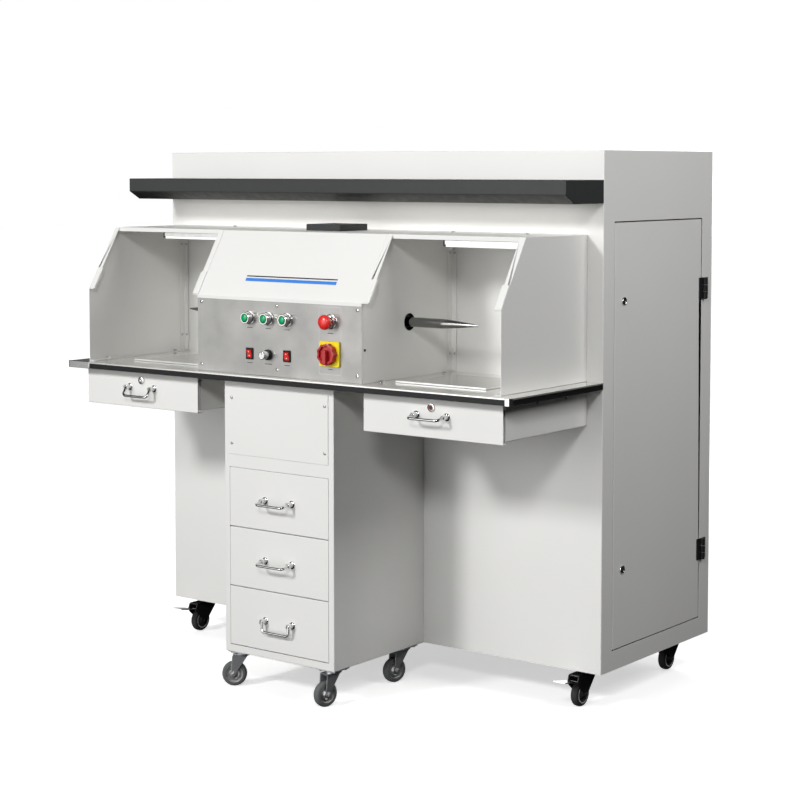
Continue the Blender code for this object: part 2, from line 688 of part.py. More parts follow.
def blower_housing(material, datum):
    """Fan scroll with an outlet to the rear panel, feet on the deck and the fan motor on its side."""
    left = BLOWER_X - BLOWER_WIDTH / 2
    right = BLOWER_X + BLOWER_WIDTH / 2
    centre = (BLOWER_Y, BLOWER_Z)
    top = BLOWER_TOP_Z
    rear = CABINET_DEPTH - SHEET - GAP
    wall = BLOWER_WALL
    scroll = rod("X", centre, BLOWER_RADIUS, left, right, ROUND)
    outlet = block((left, right), (BLOWER_Y, rear), (top - BLOWER_OUTLET, top))
    hollow = [
        rod("X", centre, BLOWER_RADIUS - wall, left + wall, right - wall, ROUND),
        block(
            (left + wall, right - wall),
            (BLOWER_Y, rear + OVERSHOOT),
            (top - BLOWER_OUTLET + wall, top - wall),
        ),
        rod("X", centre, INLET_RADIUS, left - OVERSHOOT, left + OVERSHOOT, ROUND),
    ]
    shell = fuse([scroll, outlet], hollow)
    foot_y = (BLOWER_Y - BLOWER_RADIUS / 2, BLOWER_Y + BLOWER_RADIUS / 2)
    foot_z = (DECK_Z + GAP, DECK_Z + GAP + BLOWER_FOOT_PLATE)
    feet = [
        block((left - wall, left + wall / 2), foot_y, foot_z),
        block((right - wall / 2, right + wall), foot_y, foot_z),
    ]
    motor = rod("X", centre, FAN_MOTOR_RADIUS, right - wall / 2, right + FAN_MOTOR_LENGTH, ROUND)
    shaft_hole = rod(
        "X", centre, FAN_SHAFT + GAP, right - OVERSHOOT, right + FAN_SHAFT_SEAT + GAP, FINE,
    )
    return node("blower_housing", fuse([shell] + feet + [motor], [shaft_hole]), material, datum)


def blower_impeller(material, datum):
    """Fan wheel: back plate, blades, hub and the shaft that runs in the motor."""
    right = BLOWER_X + BLOWER_WIDTH / 2 - BLOWER_WALL
    centre = (BLOWER_Y, BLOWER_Z)
    plate_x = right - FAN_SIDE_GAP
    blade_x = plate_x - FAN_PLATE / 2
    plate = rod("X", centre, FAN_RADIUS, plate_x - FAN_PLATE, plate_x, ROUND)
    hub = rod("X", centre, FAN_HUB, blade_x - FAN_BLADE_WIDTH / 2, plate_x + FAN_PLATE, FINE)
    shaft = rod("X", centre, FAN_SHAFT, blade_x, right + BLOWER_WALL + FAN_SHAFT_SEAT, FINE)
    blades = []
    for index in range(FAN_BLADES):
        blade = block(
            (blade_x - FAN_BLADE_WIDTH, blade_x),
            (-FAN_BLADE_THICK / 2, FAN_BLADE_THICK / 2),
            (FAN_BLADE_INNER, FAN_RADIUS - FAN_PLATE),
        )
        turn = Matrix.Rotation(FAN_BLADE_START + 2 * pi * index / FAN_BLADES, 4, "X")
        blade.data.transform(Matrix.Translation((0, BLOWER_Y, BLOWER_Z)) @ turn)
        blades.append(blade)
    body = fuse([plate, hub, shaft] + blades)
    return node("blower_impeller", body, material, datum, origin=(plate_x, BLOWER_Y, BLOWER_Z))


# Lamp bar and worktop

def lamp_bar(material, datum):
    """Hollow bar with a chamfered lower edge and an opening for the light underneath."""
    back = -GAP
    low, high = LAMP_Z, LAMP_Z + LAMP_HEIGHT
    front = -LAMP_DEPTH
    outline = [
        (back, low), (front + LAMP_CHAMFER, low), (front, high - LAMP_FACE), (front, high), (back, high),
    ]
    bar = prism(outline, "X", -CABINET_HALF, CABINET_HALF)
    reach = CABINET_HALF - SHEET
    middle = (front + LAMP_CHAMFER + back) / 2
    hollow = [
        (back - SHEET, low + SHEET),
        (front + LAMP_CHAMFER, low + SHEET),
        (front + 2 * SHEET, high - LAMP_FACE),
        (front + 2 * SHEET, high - SHEET),
        (back - SHEET, high - SHEET),
    ]
    cutters = [
        prism(hollow, "X", -reach, reach),
        block(
            (-reach + LAMP_MARGIN, reach - LAMP_MARGIN),
            (middle - LAMP_OPENING / 2, middle + LAMP_OPENING / 2),
            (low - OVERSHOOT, low + OVERSHOOT),
        ),
    ]
    return node("lamp_bar", fuse([bar], cutters), material, datum)


def worktop(material, datum):
    """Folded top with turned-down edges, two slotted air grates and a hole for the wiring."""
    front = FRONT_Y - WORKTOP_OVERHANG
    top = block((-WORKTOP_HALF, WORKTOP_HALF), (front, -GAP), (WORKTOP_Z - WORKTOP_EDGE, WORKTOP_Z))
    cutters = [
        block(
            (-WORKTOP_HALF + SHEET, WORKTOP_HALF - SHEET),
            (front + SHEET, OVERSHOOT),
            (WORKTOP_Z - WORKTOP_EDGE - OVERSHOOT, WORKTOP_Z - SHEET),
        ),
        rod("Z", (0, SPINDLE_Y + MOTOR_BED_DEPTH / 2 + WIRING_HOLE / 2), WIRING_HOLE / 2,
            WORKTOP_Z - OVERSHOOT, WORKTOP_Z + OVERSHOOT, ROUND),
    ]
    pitch = GRATE_WIDTH / GRATE_SLOTS
    slot_y = (FRONT_Y + GRATE_SETBACK, FRONT_Y + GRATE_SETBACK + GRATE_DEPTH)
    for side in (-1, 1):
        for index in range(GRATE_SLOTS):
            x = side * (HOOD_MIDDLE - GRATE_OFFSET) + (index - (GRATE_SLOTS - 1) / 2) * pitch
            cutters.append(block(
                (x - GRATE_SLOT_WIDTH / 2, x + GRATE_SLOT_WIDTH / 2),
                slot_y,
                (WORKTOP_Z - OVERSHOOT, WORKTOP_Z + OVERSHOOT),
            ))
    return node("worktop", fuse([top], cutters), material, datum)


# Hoods and control box

def hood(name, side, material, datum):
    """Outer wall with a foot, top, framed slope, shield stops and rear angles."""
    inner, outer = HOOD_INNER, HOOD_OUTER
    path = [
        (outer - WALL_FOOT, HOOD_FOOT_Z), (outer, HOOD_FOOT_Z), (outer, HOOD_TOP_Z), (inner, HOOD_TOP_Z),
    ]
    outline = [(side * x, z) for x, z in folded(path)]
    body = fuse([prism(outline, "Y", FRONT_Y, -GAP)], [slope_wedge()])
    tab_rise = STOP_TAB_LENGTH * (HOOD_TOP_Z - SLOPE_Z) / slope_length()
    extras = [
        block(
            (side * inner, side * outer),
            (-HOOD_TOP_DEPTH, -HOOD_TOP_DEPTH + SHEET),
            (HOOD_TOP_Z - TOP_BAND, HOOD_TOP_Z - SHEET / 2),
        ),
    ]
    for edge, inward in ((inner, 1), (outer, -1)):
        strip_x = (side * edge, side * (edge + inward * FRAME_STRIP))
        tab_x = (side * (edge + inward * GAP), side * (edge + inward * STOP_TAB_WIDTH))
        angle_x = (side * (edge + inward * SHEET / 2), side * (edge + inward * REAR_ANGLE))
        extras += [
            slope_strip(strip_x, SLOPE_Z, HOOD_TOP_Z, 0, SHEET),
            slope_strip(tab_x, SLOPE_Z + SHEET, SLOPE_Z + SHEET + tab_rise, STOP_TAB_PROUD, STOP_TAB_DEPTH),
            block(angle_x, (-GAP - SHEET, -2 * GAP), (HOOD_FOOT_Z + SHEET / 2, HOOD_TOP_Z - SHEET / 2)),
        ]
    return node(name, fuse([body] + extras), material, datum)


def slope_length():
    """Length of the hoods' sloping edge."""
    return Vector((HOOD_DEPTH - HOOD_TOP_DEPTH, HOOD_TOP_Z - SLOPE_Z)).length


def control_box(material, datum):
    """Side walls, sloping cover and top, with the spindle holes and a slotted vent cover."""
    walls = []
    for side in (-1, 1):
        path = [(BOX_HALF - PANEL_FLANGE, FRONT_Y), (BOX_HALF, FRONT_Y), (BOX_HALF, -GAP)]
        outline = [(side * x, y) for x, y in folded(path)]
        walls.append(prism(outline, "Z", HOOD_FOOT_Z, HOOD_TOP_Z - SHEET / 2))
    for wall in walls:
        combine(wall, slope_wedge(), "DIFFERENCE")
    cover_path = [(-GAP, HOOD_TOP_Z), (-HOOD_TOP_DEPTH, HOOD_TOP_Z), (FRONT_Y, SLOPE_Z)]
    cover = prism(folded(cover_path), "X", -BOX_HALF, BOX_HALF)
    vent_y = FRONT_Y + VENT_SETBACK
    vent = block(
        (-VENT_SIZE / 2, VENT_SIZE / 2),
        (vent_y, vent_y + VENT_SIZE),
        (HOOD_TOP_Z - SHEET / 2, HOOD_TOP_Z + VENT_HEIGHT),
    )
    beyond = BOX_HALF + OVERSHOOT
    cutters = [rod("X", (SPINDLE_Y, SPINDLE_Z), SPINDLE_HOLE, -beyond, beyond, ROUND)]
    open_size = VENT_SIZE - 2 * VENT_RIM
    pitch = open_size / VENT_SLOTS
    for index in range(VENT_SLOTS):
        y = vent_y + VENT_RIM + (index + 0.5) * pitch
        cutters.append(block(
            (-open_size / 2, open_size / 2),
            (y - VENT_SLOT_WIDTH / 2, y + VENT_SLOT_WIDTH / 2),
            (HOOD_TOP_Z - OVERSHOOT, HOOD_TOP_Z + VENT_HEIGHT + OVERSHOOT),
        ))
    return node("control_box", fuse([cover] + walls + [vent], cutters), material, datum)


def button_places():
    """Sideways places of the three push-buttons, with a height above the panel's lower edge."""
    z = HOOD_FOOT_Z + BUTTON_ROW
    names = ("left_motor", "fan", "right_motor")
    return {name: (BUTTON_MIDDLE_X + (index - 1) * BUTTON_PITCH, z) for index, name in enumerate(names)}


def rocker_places():
    """The two lamp switches sit under the outer push-buttons."""
    z = HOOD_FOOT_Z + SWITCH_ROW
    steps = {"left": -1, "right": 1}
    return {name: (BUTTON_MIDDLE_X + step * BUTTON_PITCH, z) for name, step in steps.items()}


def control_panel(material, datum):
    """Front plate with the bezels, switch frames, collar, isolator plate and holes of its controls."""
    face, back = PANEL_FACE_Y, FRONT_Y - GAP
    through = (face - 2 * BEZEL_LENGTH, back + OVERSHOOT)
    inside = face + SHEET / 2
    plate = block((-BOX_HALF, BOX_HALF), (face, back), (HOOD_FOOT_Z, HOOD_FOOT_Z + PANEL_HEIGHT))
    solids = []
    holes = []
    for place in button_places().values():
        solids.append(rod("Y", place, BEZEL_RADIUS, face - BEZEL_LENGTH, inside, ROUND))
        holes.append(rod("Y", place, BUTTON_RADIUS + GAP, *through, ROUND))
    for x, z in rocker_places().values():
        wide, tall = ROCKER_WIDTH / 2 + GAP, ROCKER_HEIGHT / 2 + 2 * GAP
        rim = ROCKER_RIM
        solids.append(block(
            (x - wide - rim, x + wide + rim),
            (face - ROCKER_RIM_LENGTH, inside),
            (z - tall - rim, z + tall + rim),
        ))
        holes.append(block((x - wide, x + wide), through, (z - tall, z + tall)))
    knob = (BUTTON_MIDDLE_X, HOOD_FOOT_Z + SWITCH_ROW)
    solids.append(rod("Y", knob, KNOB_BUSH, face - SHEET, inside))
    holes.append(rod("Y", knob, KNOB_SHAFT + GAP, *through))
    stop = (STOP_X, HOOD_FOOT_Z + STOP_ROW)
    solids.append(rod("Y", stop, STOP_COLLAR, face - STOP_COLLAR_LENGTH, inside, ROUND))
    holes.append(rod("Y", stop, STOP_STEM + GAP, *through, ROUND))
    x, z = STOP_X, HOOD_FOOT_Z + ISOLATOR_ROW
    half = ISOLATOR_PLATE / 2
    plate_y = (face - ISOLATOR_PLATE_THICK, inside)
    solids.append(block((x - half, x + half), plate_y, (z - half, z + half)))
    holes.append(rod("Y", (x, z), ISOLATOR_STEM + GAP, *through))
    return node("control_panel", fuse([plate] + solids, holes), material, datum)


def push_button(name, place, material, datum):
    """Lens cap in its bezel, with a shoulder behind the panel."""
    face, back = PANEL_FACE_Y, FRONT_Y - GAP
    front = face - BEZEL_LENGTH - BUTTON_PROUD
    profile = [
        (front, 0), (front, BUTTON_RADIUS - BUTTON_EDGE), (front + BUTTON_EDGE, BUTTON_RADIUS),
        (back + GAP, BUTTON_RADIUS), (back + GAP, BUTTON_FLANGE),
        (back + GAP + BUTTON_SHOULDER, BUTTON_FLANGE), (back + GAP + BUTTON_SHOULDER, 0),
    ]
    body = turned([(y, r * cos(pi / ROUND)) for y, r in profile], "Y", place)
    return node(name, body, material, datum, origin=(place[0], face, place[1]))


def rocker(name, place, material, datum):
    """Two-way paddle, drawn level and then tipped to its off position."""
    x, z = place
    half = ROCKER_HEIGHT / 2 - 2 * GAP
    face = PANEL_FACE_Y - ROCKER_RIM_LENGTH
    pivot = face + ROCKER_RIM_LENGTH / 2
    crown = half * sin(ROCKER_THROW) / 2
    outline = [
        (face - 2 * crown, z + half), (face - crown, z), (face - 2 * crown, z - half),
        (pivot + SHEET, z - half), (pivot + ROCKER_HEIGHT / 2, z), (pivot + SHEET, z + half),
    ]
    body = prism(outline, "X", x - ROCKER_WIDTH / 2, x + ROCKER_WIDTH / 2)
    return node(name, body, material, datum, origin=(x, pivot, z), turn=(ROCKER_THROW, 0, 0))


def speed_knob(material, datum):
    """Knob with a wider skirt on a thin shaft through the panel."""
    place = (BUTTON_MIDDLE_X, HOOD_FOOT_Z + SWITCH_ROW)
    rear = PANEL_FACE_Y - SHEET - GAP
    front = rear - SKIRT_LENGTH - KNOB_LENGTH
    profile = [
        (front, 0), (front, KNOB_RADIUS - KNOB_EDGE), (front + KNOB_EDGE, KNOB_RADIUS),
        (rear - SKIRT_LENGTH, KNOB_RADIUS), (rear - SKIRT_LENGTH, SKIRT_RADIUS - KNOB_EDGE),
        (rear - SKIRT_LENGTH + KNOB_EDGE, SKIRT_RADIUS), (rear, SKIRT_RADIUS),
        (rear, KNOB_SHAFT), (FRONT_Y + SPIGOT, KNOB_SHAFT), (FRONT_Y + SPIGOT, 0),
    ]
    body = turned(profile, "Y", place)
    pointer_end = place[1] + KNOB_RADIUS - 2 * KNOB_EDGE
    pointer = block(
        (place[0] - POINTER_WIDTH / 2, place[0] + POINTER_WIDTH / 2),
        (front - POINTER_RISE, front + POINTER_RISE),
        (pointer_end - POINTER_LENGTH, pointer_end),
    )
    origin = (place[0], rear, place[1])
    return node("speed_knob", fuse([body, pointer]), material, datum, origin=origin)


def stop_button(material, datum):
    """Mushroom head on a stem, with a shoulder behind the panel."""
    place = (STOP_X, HOOD_FOOT_Z + STOP_ROW)
    face, back = PANEL_FACE_Y, FRONT_Y - GAP
    front = face - STOP_LENGTH
    head = front + STOP_HEAD
    shrink = cos(pi / ROUND)
    profile = [(front, 0)]
    for step in range(1, STOP_DOME_STEPS + 1):
        angle = step / STOP_DOME_STEPS * pi / 2
        profile.append((front + STOP_DOME * (1 - cos(angle)), STOP_RADIUS * sin(angle)))
    profile += [
        (head, STOP_RADIUS), (head, STOP_STEM * shrink),
        (back + GAP, STOP_STEM * shrink), (back + GAP, BUTTON_FLANGE),
        (back + GAP + BUTTON_SHOULDER, BUTTON_FLANGE), (back + GAP + BUTTON_SHOULDER, 0),
    ]
    body = turned(profile, "Y", place)
    return node("emergency_stop", body, material, datum, origin=(place[0], face, place[1]))


def isolator_handle(material, datum):
    """Lobed disc with a raised grip across it, on a stem through the isolator plate."""
    x, z = STOP_X, HOOD_FOOT_Z + ISOLATOR_ROW
    rear = PANEL_FACE_Y - ISOLATOR_PLATE_THICK - GAP
    front = rear - ISOLATOR_LENGTH + GRIP_RISE
    count = ISOLATOR_LOBES * LOBE_POINTS
    outline = []
    for index in range(count):
        angle = 2 * pi * index / count
        radius = ISOLATOR_RADIUS - ISOLATOR_LOBE_DEPTH * (1 - cos(ISOLATOR_LOBES * angle)) / 2
        outline.append((x + radius * sin(angle), z + radius * cos(angle)))
    disc = prism(outline, "Y", front, rear)
    grip_half = ISOLATOR_RADIUS - ISOLATOR_LOBE_DEPTH
    grip = block(
        (x - GRIP_WIDTH / 2, x + GRIP_WIDTH / 2), (front - GRIP_RISE, front + GRIP_RISE),
        (z - grip_half, z + grip_half),
    )
    stem = rod("Y", (x, z), ISOLATOR_STEM, front + GRIP_RISE, FRONT_Y + SPIGOT)
    return node("isolator_handle", fuse([disc, grip, stem]), material, datum, origin=(x, rear, z))


# Spindles

def spindle_motors(material, datum):
    """Two motors back to back on one bed plate, each bored for its spindle."""
    low = HOOD_FOOT_Z
    outer = BOX_HALF - MOTOR_WALL_GAP
    inner = outer - MOTOR_LENGTH
    half_bed = MOTOR_BED_DEPTH / 2
    bed = block((-outer, outer), (SPINDLE_Y - half_bed, SPINDLE_Y + half_bed), (low, low + MOTOR_BED))
    solids = []
    bores = []
    for side in (-1, 1):
        ends = sorted((side * inner, side * outer))
        solids.append(rod("X", (SPINDLE_Y, SPINDLE_Z), MOTOR_RADIUS, *ends, ROUND))
        solids.append(block(
            (side * (inner + MOTOR_BED), side * (outer - MOTOR_BED)),
            (SPINDLE_Y - MOTOR_FOOT / 2, SPINDLE_Y + MOTOR_FOOT / 2),
            (low + MOTOR_BED / 2, SPINDLE_Z),
        ))
        seat = sorted((side * (outer - SPINDLE_SEAT - GAP), side * (outer + OVERSHOOT)))
        bores.append(rod("X", (SPINDLE_Y, SPINDLE_Z), SPINDLE_RADIUS + GAP, *seat, ROUND))
    return node("spindle_motors", fuse([bed] + solids, bores), material, datum)


def spindle(name, side, material, datum):
    """Tapered polishing spindle that runs in its motor and passes through the control box wall."""
    seat = BOX_HALF - MOTOR_WALL_GAP - SPINDLE_SEAT
    shoulder = BOX_HALF + SPINDLE_STRAIGHT
    tip = shoulder + SPINDLE_TAPER
    shrink = cos(pi / ROUND)
    profile = [
        (side * seat, 0), (side * seat, SPINDLE_RADIUS * shrink),
        (side * shoulder, SPINDLE_RADIUS * shrink),
        (side * tip, SPINDLE_TIP), (side * tip, 0),
    ]
    body = turned(profile, "X", (SPINDLE_Y, SPINDLE_Z))
    return node(name, body, material, datum, origin=(side * BOX_HALF, SPINDLE_Y, SPINDLE_Z))


# Pedestal, drawers and pulls

def pedestal_case(material, datum):
    """Open-topped case with drawer and access openings, runners inside and caster plates below."""
    half = PEDESTAL_HALF
    body = block((-half, half), (FRONT_Y, -GAP), (CASTER_HEIGHT, UNDER_TOP_Z))
    drawer_half = PEDESTAL_DRAWER_WIDTH / 2
    access_half = ACCESS_WIDTH / 2 - ACCESS_LAP
    wall_cut = (FRONT_Y - OVERSHOOT, FRONT_Y + OVERSHOOT)
    cutters = [
        block(
            (-half + SHEET, half - SHEET),
            (FRONT_Y + SHEET, -GAP - SHEET),
            (CASTER_HEIGHT + SHEET, WORKTOP_Z + OVERSHOOT),
        ),
        block((-drawer_half - FRONT_GAP, drawer_half + FRONT_GAP), wall_cut, (DRAWERS_Z, MIDDLE_RAIL_Z)),
        block(
            (-access_half, access_half),
            wall_cut,
            (ACCESS_Z + ACCESS_LAP, ACCESS_Z + ACCESS_HEIGHT - ACCESS_LAP),
        ),
    ]
    fuse([body], cutters)
    extras = [caster_plate(place, PEDESTAL_CASTER) for place in pedestal_caster_places().values()]
    runner_y = (FRONT_Y + DRAWER_RETURN + FRONT_GAP, -GAP - SHEET / 2)
    for index in range(len(PEDESTAL_DRAWERS)):
        top = DRAWERS_Z + index * PEDESTAL_DRAWER_HEIGHT + PEDESTAL_TRAY_LIFT - GAP
        for side in (-1, 1):
            runner_x = (side * (drawer_half - TRAY_GAP - RUNNER_OVERLAP), side * (half - SHEET / 2))
            extras.append(block(runner_x, runner_y, (top - SHEET, top)))
    holes = [king_pin_hole(place) for place in pedestal_caster_places().values()]
    return node("pedestal_case", fuse([body] + extras, holes), material, datum)


def access_panel(material, datum):
    """Screwed cover over the pedestal's upper bay."""
    half = ACCESS_WIDTH / 2
    panel = block(
        (-half, half), (FRONT_Y - GAP - SHEET, FRONT_Y - GAP), (ACCESS_Z, ACCESS_Z + ACCESS_HEIGHT),
    )
    return node("access_panel", panel, material, datum)


def drawer_front(x, width, low, high):
    """Folded drawer front with returns along its lower and upper edge."""
    back = FRONT_Y + DRAWER_RETURN
    path = [(back, high), (FRONT_Y, high), (FRONT_Y, low), (back, low)]
    return prism(folded(path), "X", x - width / 2, x + width / 2)


def drawer_tray(x, width, depth, low, high):
    """Open-topped tray behind a drawer front."""
    front = FRONT_Y + SHEET / 2
    tray = block((x - width / 2, x + width / 2), (front, front + depth), (low, high))
    hollow = block(
        (x - width / 2 + SHEET, x + width / 2 - SHEET),
        (front + SHEET, front + depth - SHEET),
        (low + SHEET, high + OVERSHOOT),
    )
    return fuse([tray], [hollow])


def pull_ears(x, z):
    """The two slotted ears of a drawer pull, and the cutters for their slots and pivot holes."""
    pivot_y = FRONT_Y - PULL_PIVOT
    tip_y = FRONT_Y - EAR_LENGTH
    slot = PULL_WIRE + EAR_SLOT_GAP
    tall = EAR_RADIUS + OVERSHOOT
    reach = PULL_SPAN / 2 + EAR_RADIUS + OVERSHOOT
    ears = []
    cutters = [rod("X", (pivot_y, z), PULL_PIN + GAP, x - reach, x + reach)]
    for ear_x in (x - PULL_SPAN / 2, x + PULL_SPAN / 2):
        ears.append(rod("Y", (ear_x, z), EAR_RADIUS, tip_y, FRONT_Y + SHEET / 2))
        slot_y = (tip_y - OVERSHOOT, pivot_y + EAR_SLOT_BACK)
        cutters.append(block((ear_x - slot, ear_x + slot), slot_y, (z - tall, z + tall)))
    return ears, cutters


def drawer_pull(name, x, z, angle, material, drawer):
    """Wire bail whose legs turn on pins in the slotted ears, raised from hanging by an angle."""
    pivot_y = FRONT_Y - PULL_PIVOT
    legs = (x - PULL_SPAN / 2, x + PULL_SPAN / 2)
    low = z - PULL_REACH
    high = z + PULL_TIP
    corners = [
        (legs[0], pivot_y, high), (legs[0], pivot_y, low),
        (legs[1], pivot_y, low), (legs[1], pivot_y, high),
    ]
    bail = wire(rounded_path(corners, PULL_CORNER), PULL_WIRE)
    pin = EAR_RADIUS - GAP
    pins = [rod("X", (pivot_y, z), PULL_PIN, leg - pin, leg + pin) for leg in legs]
    body = fuse([bail] + pins)
    return node(name, body, material, drawer, origin=(x, pivot_y, z), turn=(-angle, 0, 0))


def pedestal_drawer(index, name, paint, bright, datum):
    """One pedestal drawer on its runners, with its pull."""
    low = DRAWERS_Z + index * PEDESTAL_DRAWER_HEIGHT
    high = low + PEDESTAL_DRAWER_HEIGHT
    pull_z = (low + high) / 2
    front = drawer_front(0, PEDESTAL_DRAWER_WIDTH, low + FRONT_GAP, high - FRONT_GAP)
    tray_width = PEDESTAL_DRAWER_WIDTH - 2 * TRAY_GAP
    tray_top = high - TRAY_RIM_DROP
    tray = drawer_tray(0, tray_width, PEDESTAL_TRAY_DEPTH, low + PEDESTAL_TRAY_LIFT, tray_top)
    ears, cutters = pull_ears(0, pull_z)
    body = fuse([front, tray] + ears, cutters)
    drawer = node(f"{name}_drawer", body, paint, datum, origin=(0, FRONT_Y, pull_z))
    drawer_pull(f"{name}_drawer_pull", 0, pull_z, PULL_ANGLES[name], bright, drawer)


def catch_floor():
    """Height of the catch drawers' housing floor."""
    return CATCH_TOP_Z - CATCH_FRONT_HEIGHT + HOUSING_RISE


def drawer_housing(name, side, material, datum):
    """Channel under the worktop that guides a catch drawer and leads its air into the cabinet."""
    x = side * CATCH_X
    half = HOUSING_WIDTH / 2
    front = FRONT_Y + DRAWER_RETURN + GAP
    low = catch_floor()
    body = block((x - half, x + half), (front, -GAP), (low, UNDER_TOP_Z))
    hollow = block(
        (x - half + SHEET, x + half - SHEET),
        (front - OVERSHOOT, OVERSHOOT),
        (low + SHEET, UNDER_TOP_Z + OVERSHOOT),
    )
    keeper_back = FRONT_Y + CATCH_LOCK_DEPTH - CAM_THICK - JAMB_CLEARANCE
    keeper = block(
        (x - half + SHEET / 2, x + half - SHEET / 2),
        (keeper_back - SHEET, keeper_back),
        (UNDER_TOP_Z - KEEPER_HEIGHT, UNDER_TOP_Z - GAP),
    )
    return node(name, fuse([fuse([body], [hollow]), keeper]), material, datum)


def catch_drawer(name, side, paint, bright, datum):
    """Lockable drawer that catches dust under an air grate, with its pull and lock."""
    x = side * CATCH_X
    front = drawer_front(x, CATCH_FRONT_WIDTH, CATCH_TOP_Z - CATCH_FRONT_HEIGHT, CATCH_TOP_Z)
    low = catch_floor() + SHEET + GAP
    tray_width = HOUSING_WIDTH - 2 * SHEET - 2 * TRAY_GAP
    tray = drawer_tray(x, tray_width, CATCH_TRAY_DEPTH, low, low + CATCH_TRAY_HEIGHT)
    pull_z = CATCH_TOP_Z - CATCH_PULL_DROP
    lock = (x, CATCH_TOP_Z - LOCK_DROP)
    ears, cutters = pull_ears(x, pull_z)
    lock_hole = rod("Y", lock, LOCK_BARREL + GAP, FRONT_Y - OVERSHOOT, FRONT_Y + OVERSHOOT)
    body = fuse([front, tray] + ears, cutters + [lock_hole])
    drawer = node(f"{name}_catch_drawer", body, paint, datum, origin=(x, FRONT_Y, pull_z))
    drawer_pull(f"{name}_catch_drawer_pull", x, pull_z, PULL_ANGLES[name], bright, drawer)
    catch_lock(f"{name}_catch_drawer_lock", lock, bright, drawer)


def catch_lock(name, place, material, drawer):
    """Lock plug whose cam lies sideways when unlocked and turns up behind the keeper rail."""
    x, z = place
    cam_back = FRONT_Y + CATCH_LOCK_DEPTH
    flange = rod("Y", place, LOCK_FLANGE, FRONT_Y - GAP - LOCK_FLANGE_THICK, FRONT_Y - GAP)
    barrel = rod("Y", place, LOCK_BARREL, FRONT_Y - LOCK_FLANGE_THICK / 2, cam_back)
    cam = block(
        (x, x + CATCH_CAM_REACH),
        (cam_back - CAM_THICK, cam_back),
        (z - CAM_WIDTH / 2, z + CAM_WIDTH / 2),
    )
    return node(name, fuse([barrel, flange, cam]), material, drawer, origin=(x, FRONT_Y, z))


# Casters

def cabinet_caster_places():
    """King pin places under the cabinet."""
    x = CABINET_HALF - CABINET_CASTER_INSET_X
    front, rear = CABINET_CASTER_INSET_Y, CABINET_DEPTH - CABINET_CASTER_INSET_Y
    return {
        "front_left": (-x, front), "front_right": (x, front),
        "rear_left": (-x, rear), "rear_right": (x, rear),
    }


def pedestal_caster_places():
    """King pin places under the pedestal."""
    x = PEDESTAL_HALF - PEDESTAL_CASTER_INSET_X
    front, rear = FRONT_Y + PEDESTAL_CASTER_FRONT, -PEDESTAL_CASTER_REAR
    return {
        "front_left": (-x, front), "front_right": (x, front),
        "rear_left": (-x, rear), "rear_right": (x, rear),
    }


def caster_plate(place, caster):
    """Fixing plate of a caster, joined to the floor above it."""
    x, y = place
    half = caster.plate / 2
    z = (CASTER_HEIGHT - CASTER_PLATE_THICK, CASTER_HEIGHT + SHEET / 2)
    return block((x - half, x + half), (y - half, y + half), z)


def king_pin_hole(place):
    """Cutter for the hole that a caster's king pin turns in."""
    return rod("Z", place, KING_PIN + GAP, CASTER_HEIGHT - OVERSHOOT, CASTER_HEIGHT + OVERSHOOT)


def cheek_outline(caster, place):
    """Side plate of a fork, from its crown down to the axle."""
    y = place[1]
    axle_y, axle_z = y - caster.trail, caster.wheel
    crown = CASTER_HEIGHT - CASTER_PLATE_THICK - GAP - caster.head_height + SHEET
    eye = caster.axle + CHEEK_EYE
    if caster.cheek_profile == "broad":
        ahead = axle_y - PEDAL_PIVOT_AHEAD
        return [
            (y + caster.head - CROWN_SETBACK, crown), (y + caster.head - 2 * CROWN_SETBACK, crown - eye),
            (axle_y + eye, axle_z - eye / 2), (axle_y, axle_z - eye),
            (axle_y - eye, axle_z - eye / 2), (axle_y - eye, axle_z + eye),
            (ahead, PEDAL_PIVOT_RISE - eye), (ahead - eye / 2, PEDAL_PIVOT_RISE), (ahead, crown),
        ]
    return [
        (y + caster.head / 2, crown), (axle_y + eye, axle_z + eye), (axle_y + eye, axle_z - eye / 2),
        (axle_y, axle_z - eye), (axle_y - eye, axle_z - eye / 2), (axle_y - eye, axle_z + eye),
        (axle_y - eye / 2, crown),
    ]


def caster_fork(name, place, caster, yaw, material, datum):
    """Swivel fork: head, king pin, crown, two cheeks and the axle."""
    x, y = place
    top = CASTER_HEIGHT - CASTER_PLATE_THICK - GAP
    crown = top - caster.head_height
    inner = caster.width / 2 + caster.fork_gap
    outer = inner + caster.cheek
    outline = cheek_outline(caster, place)
    axle_end = outer + caster.cheek
    head = rod("Z", place, caster.head, crown, top)
    depths = [point[0] for point in outline if point[1] > crown - SHEET]
    solids = [
        block((x - outer, x + outer), (min(depths), max(depths)), (crown - SHEET, crown + 2 * SHEET)),
        prism(outline, "X", x - outer, x - inner),
        prism(outline, "X", x + inner, x + outer),
        rod("X", (y - caster.trail, caster.wheel), caster.axle, x - axle_end, x + axle_end),
        rod("Z", place, KING_PIN, crown + SHEET, CASTER_HEIGHT + SHEET),
    ]
    return node(name, fuse([head] + solids), material, datum, origin=(x, y, crown), turn=(0, 0, -yaw))


def caster_wheel(name, place, caster, material, fork):
    """Wheel with a rounded tread, recessed sides and a bore that runs on the axle."""
    x, y = place
    half = caster.width / 2
    radius = caster.wheel
    inset = caster.tread_inset
    bore = (caster.axle + GAP) / cos(pi / ROUND)
    side = [
        (half, bore), (half, bore + HUB_WALL), (half - WHEEL_DISH, caster.hub),
        (half - TREAD_SIDE, caster.hub + inset / 2), (half - TREAD_SIDE, radius - inset),
        (half - TREAD_ROUND, radius),
    ]
    profile = [(x + along, r) for along, r in side] + [(x - along, r) for along, r in reversed(side)]
    body = turned(profile, "X", (y - caster.trail, radius))
    return node(name, body, material, fork, origin=(x, y - caster.trail, radius))


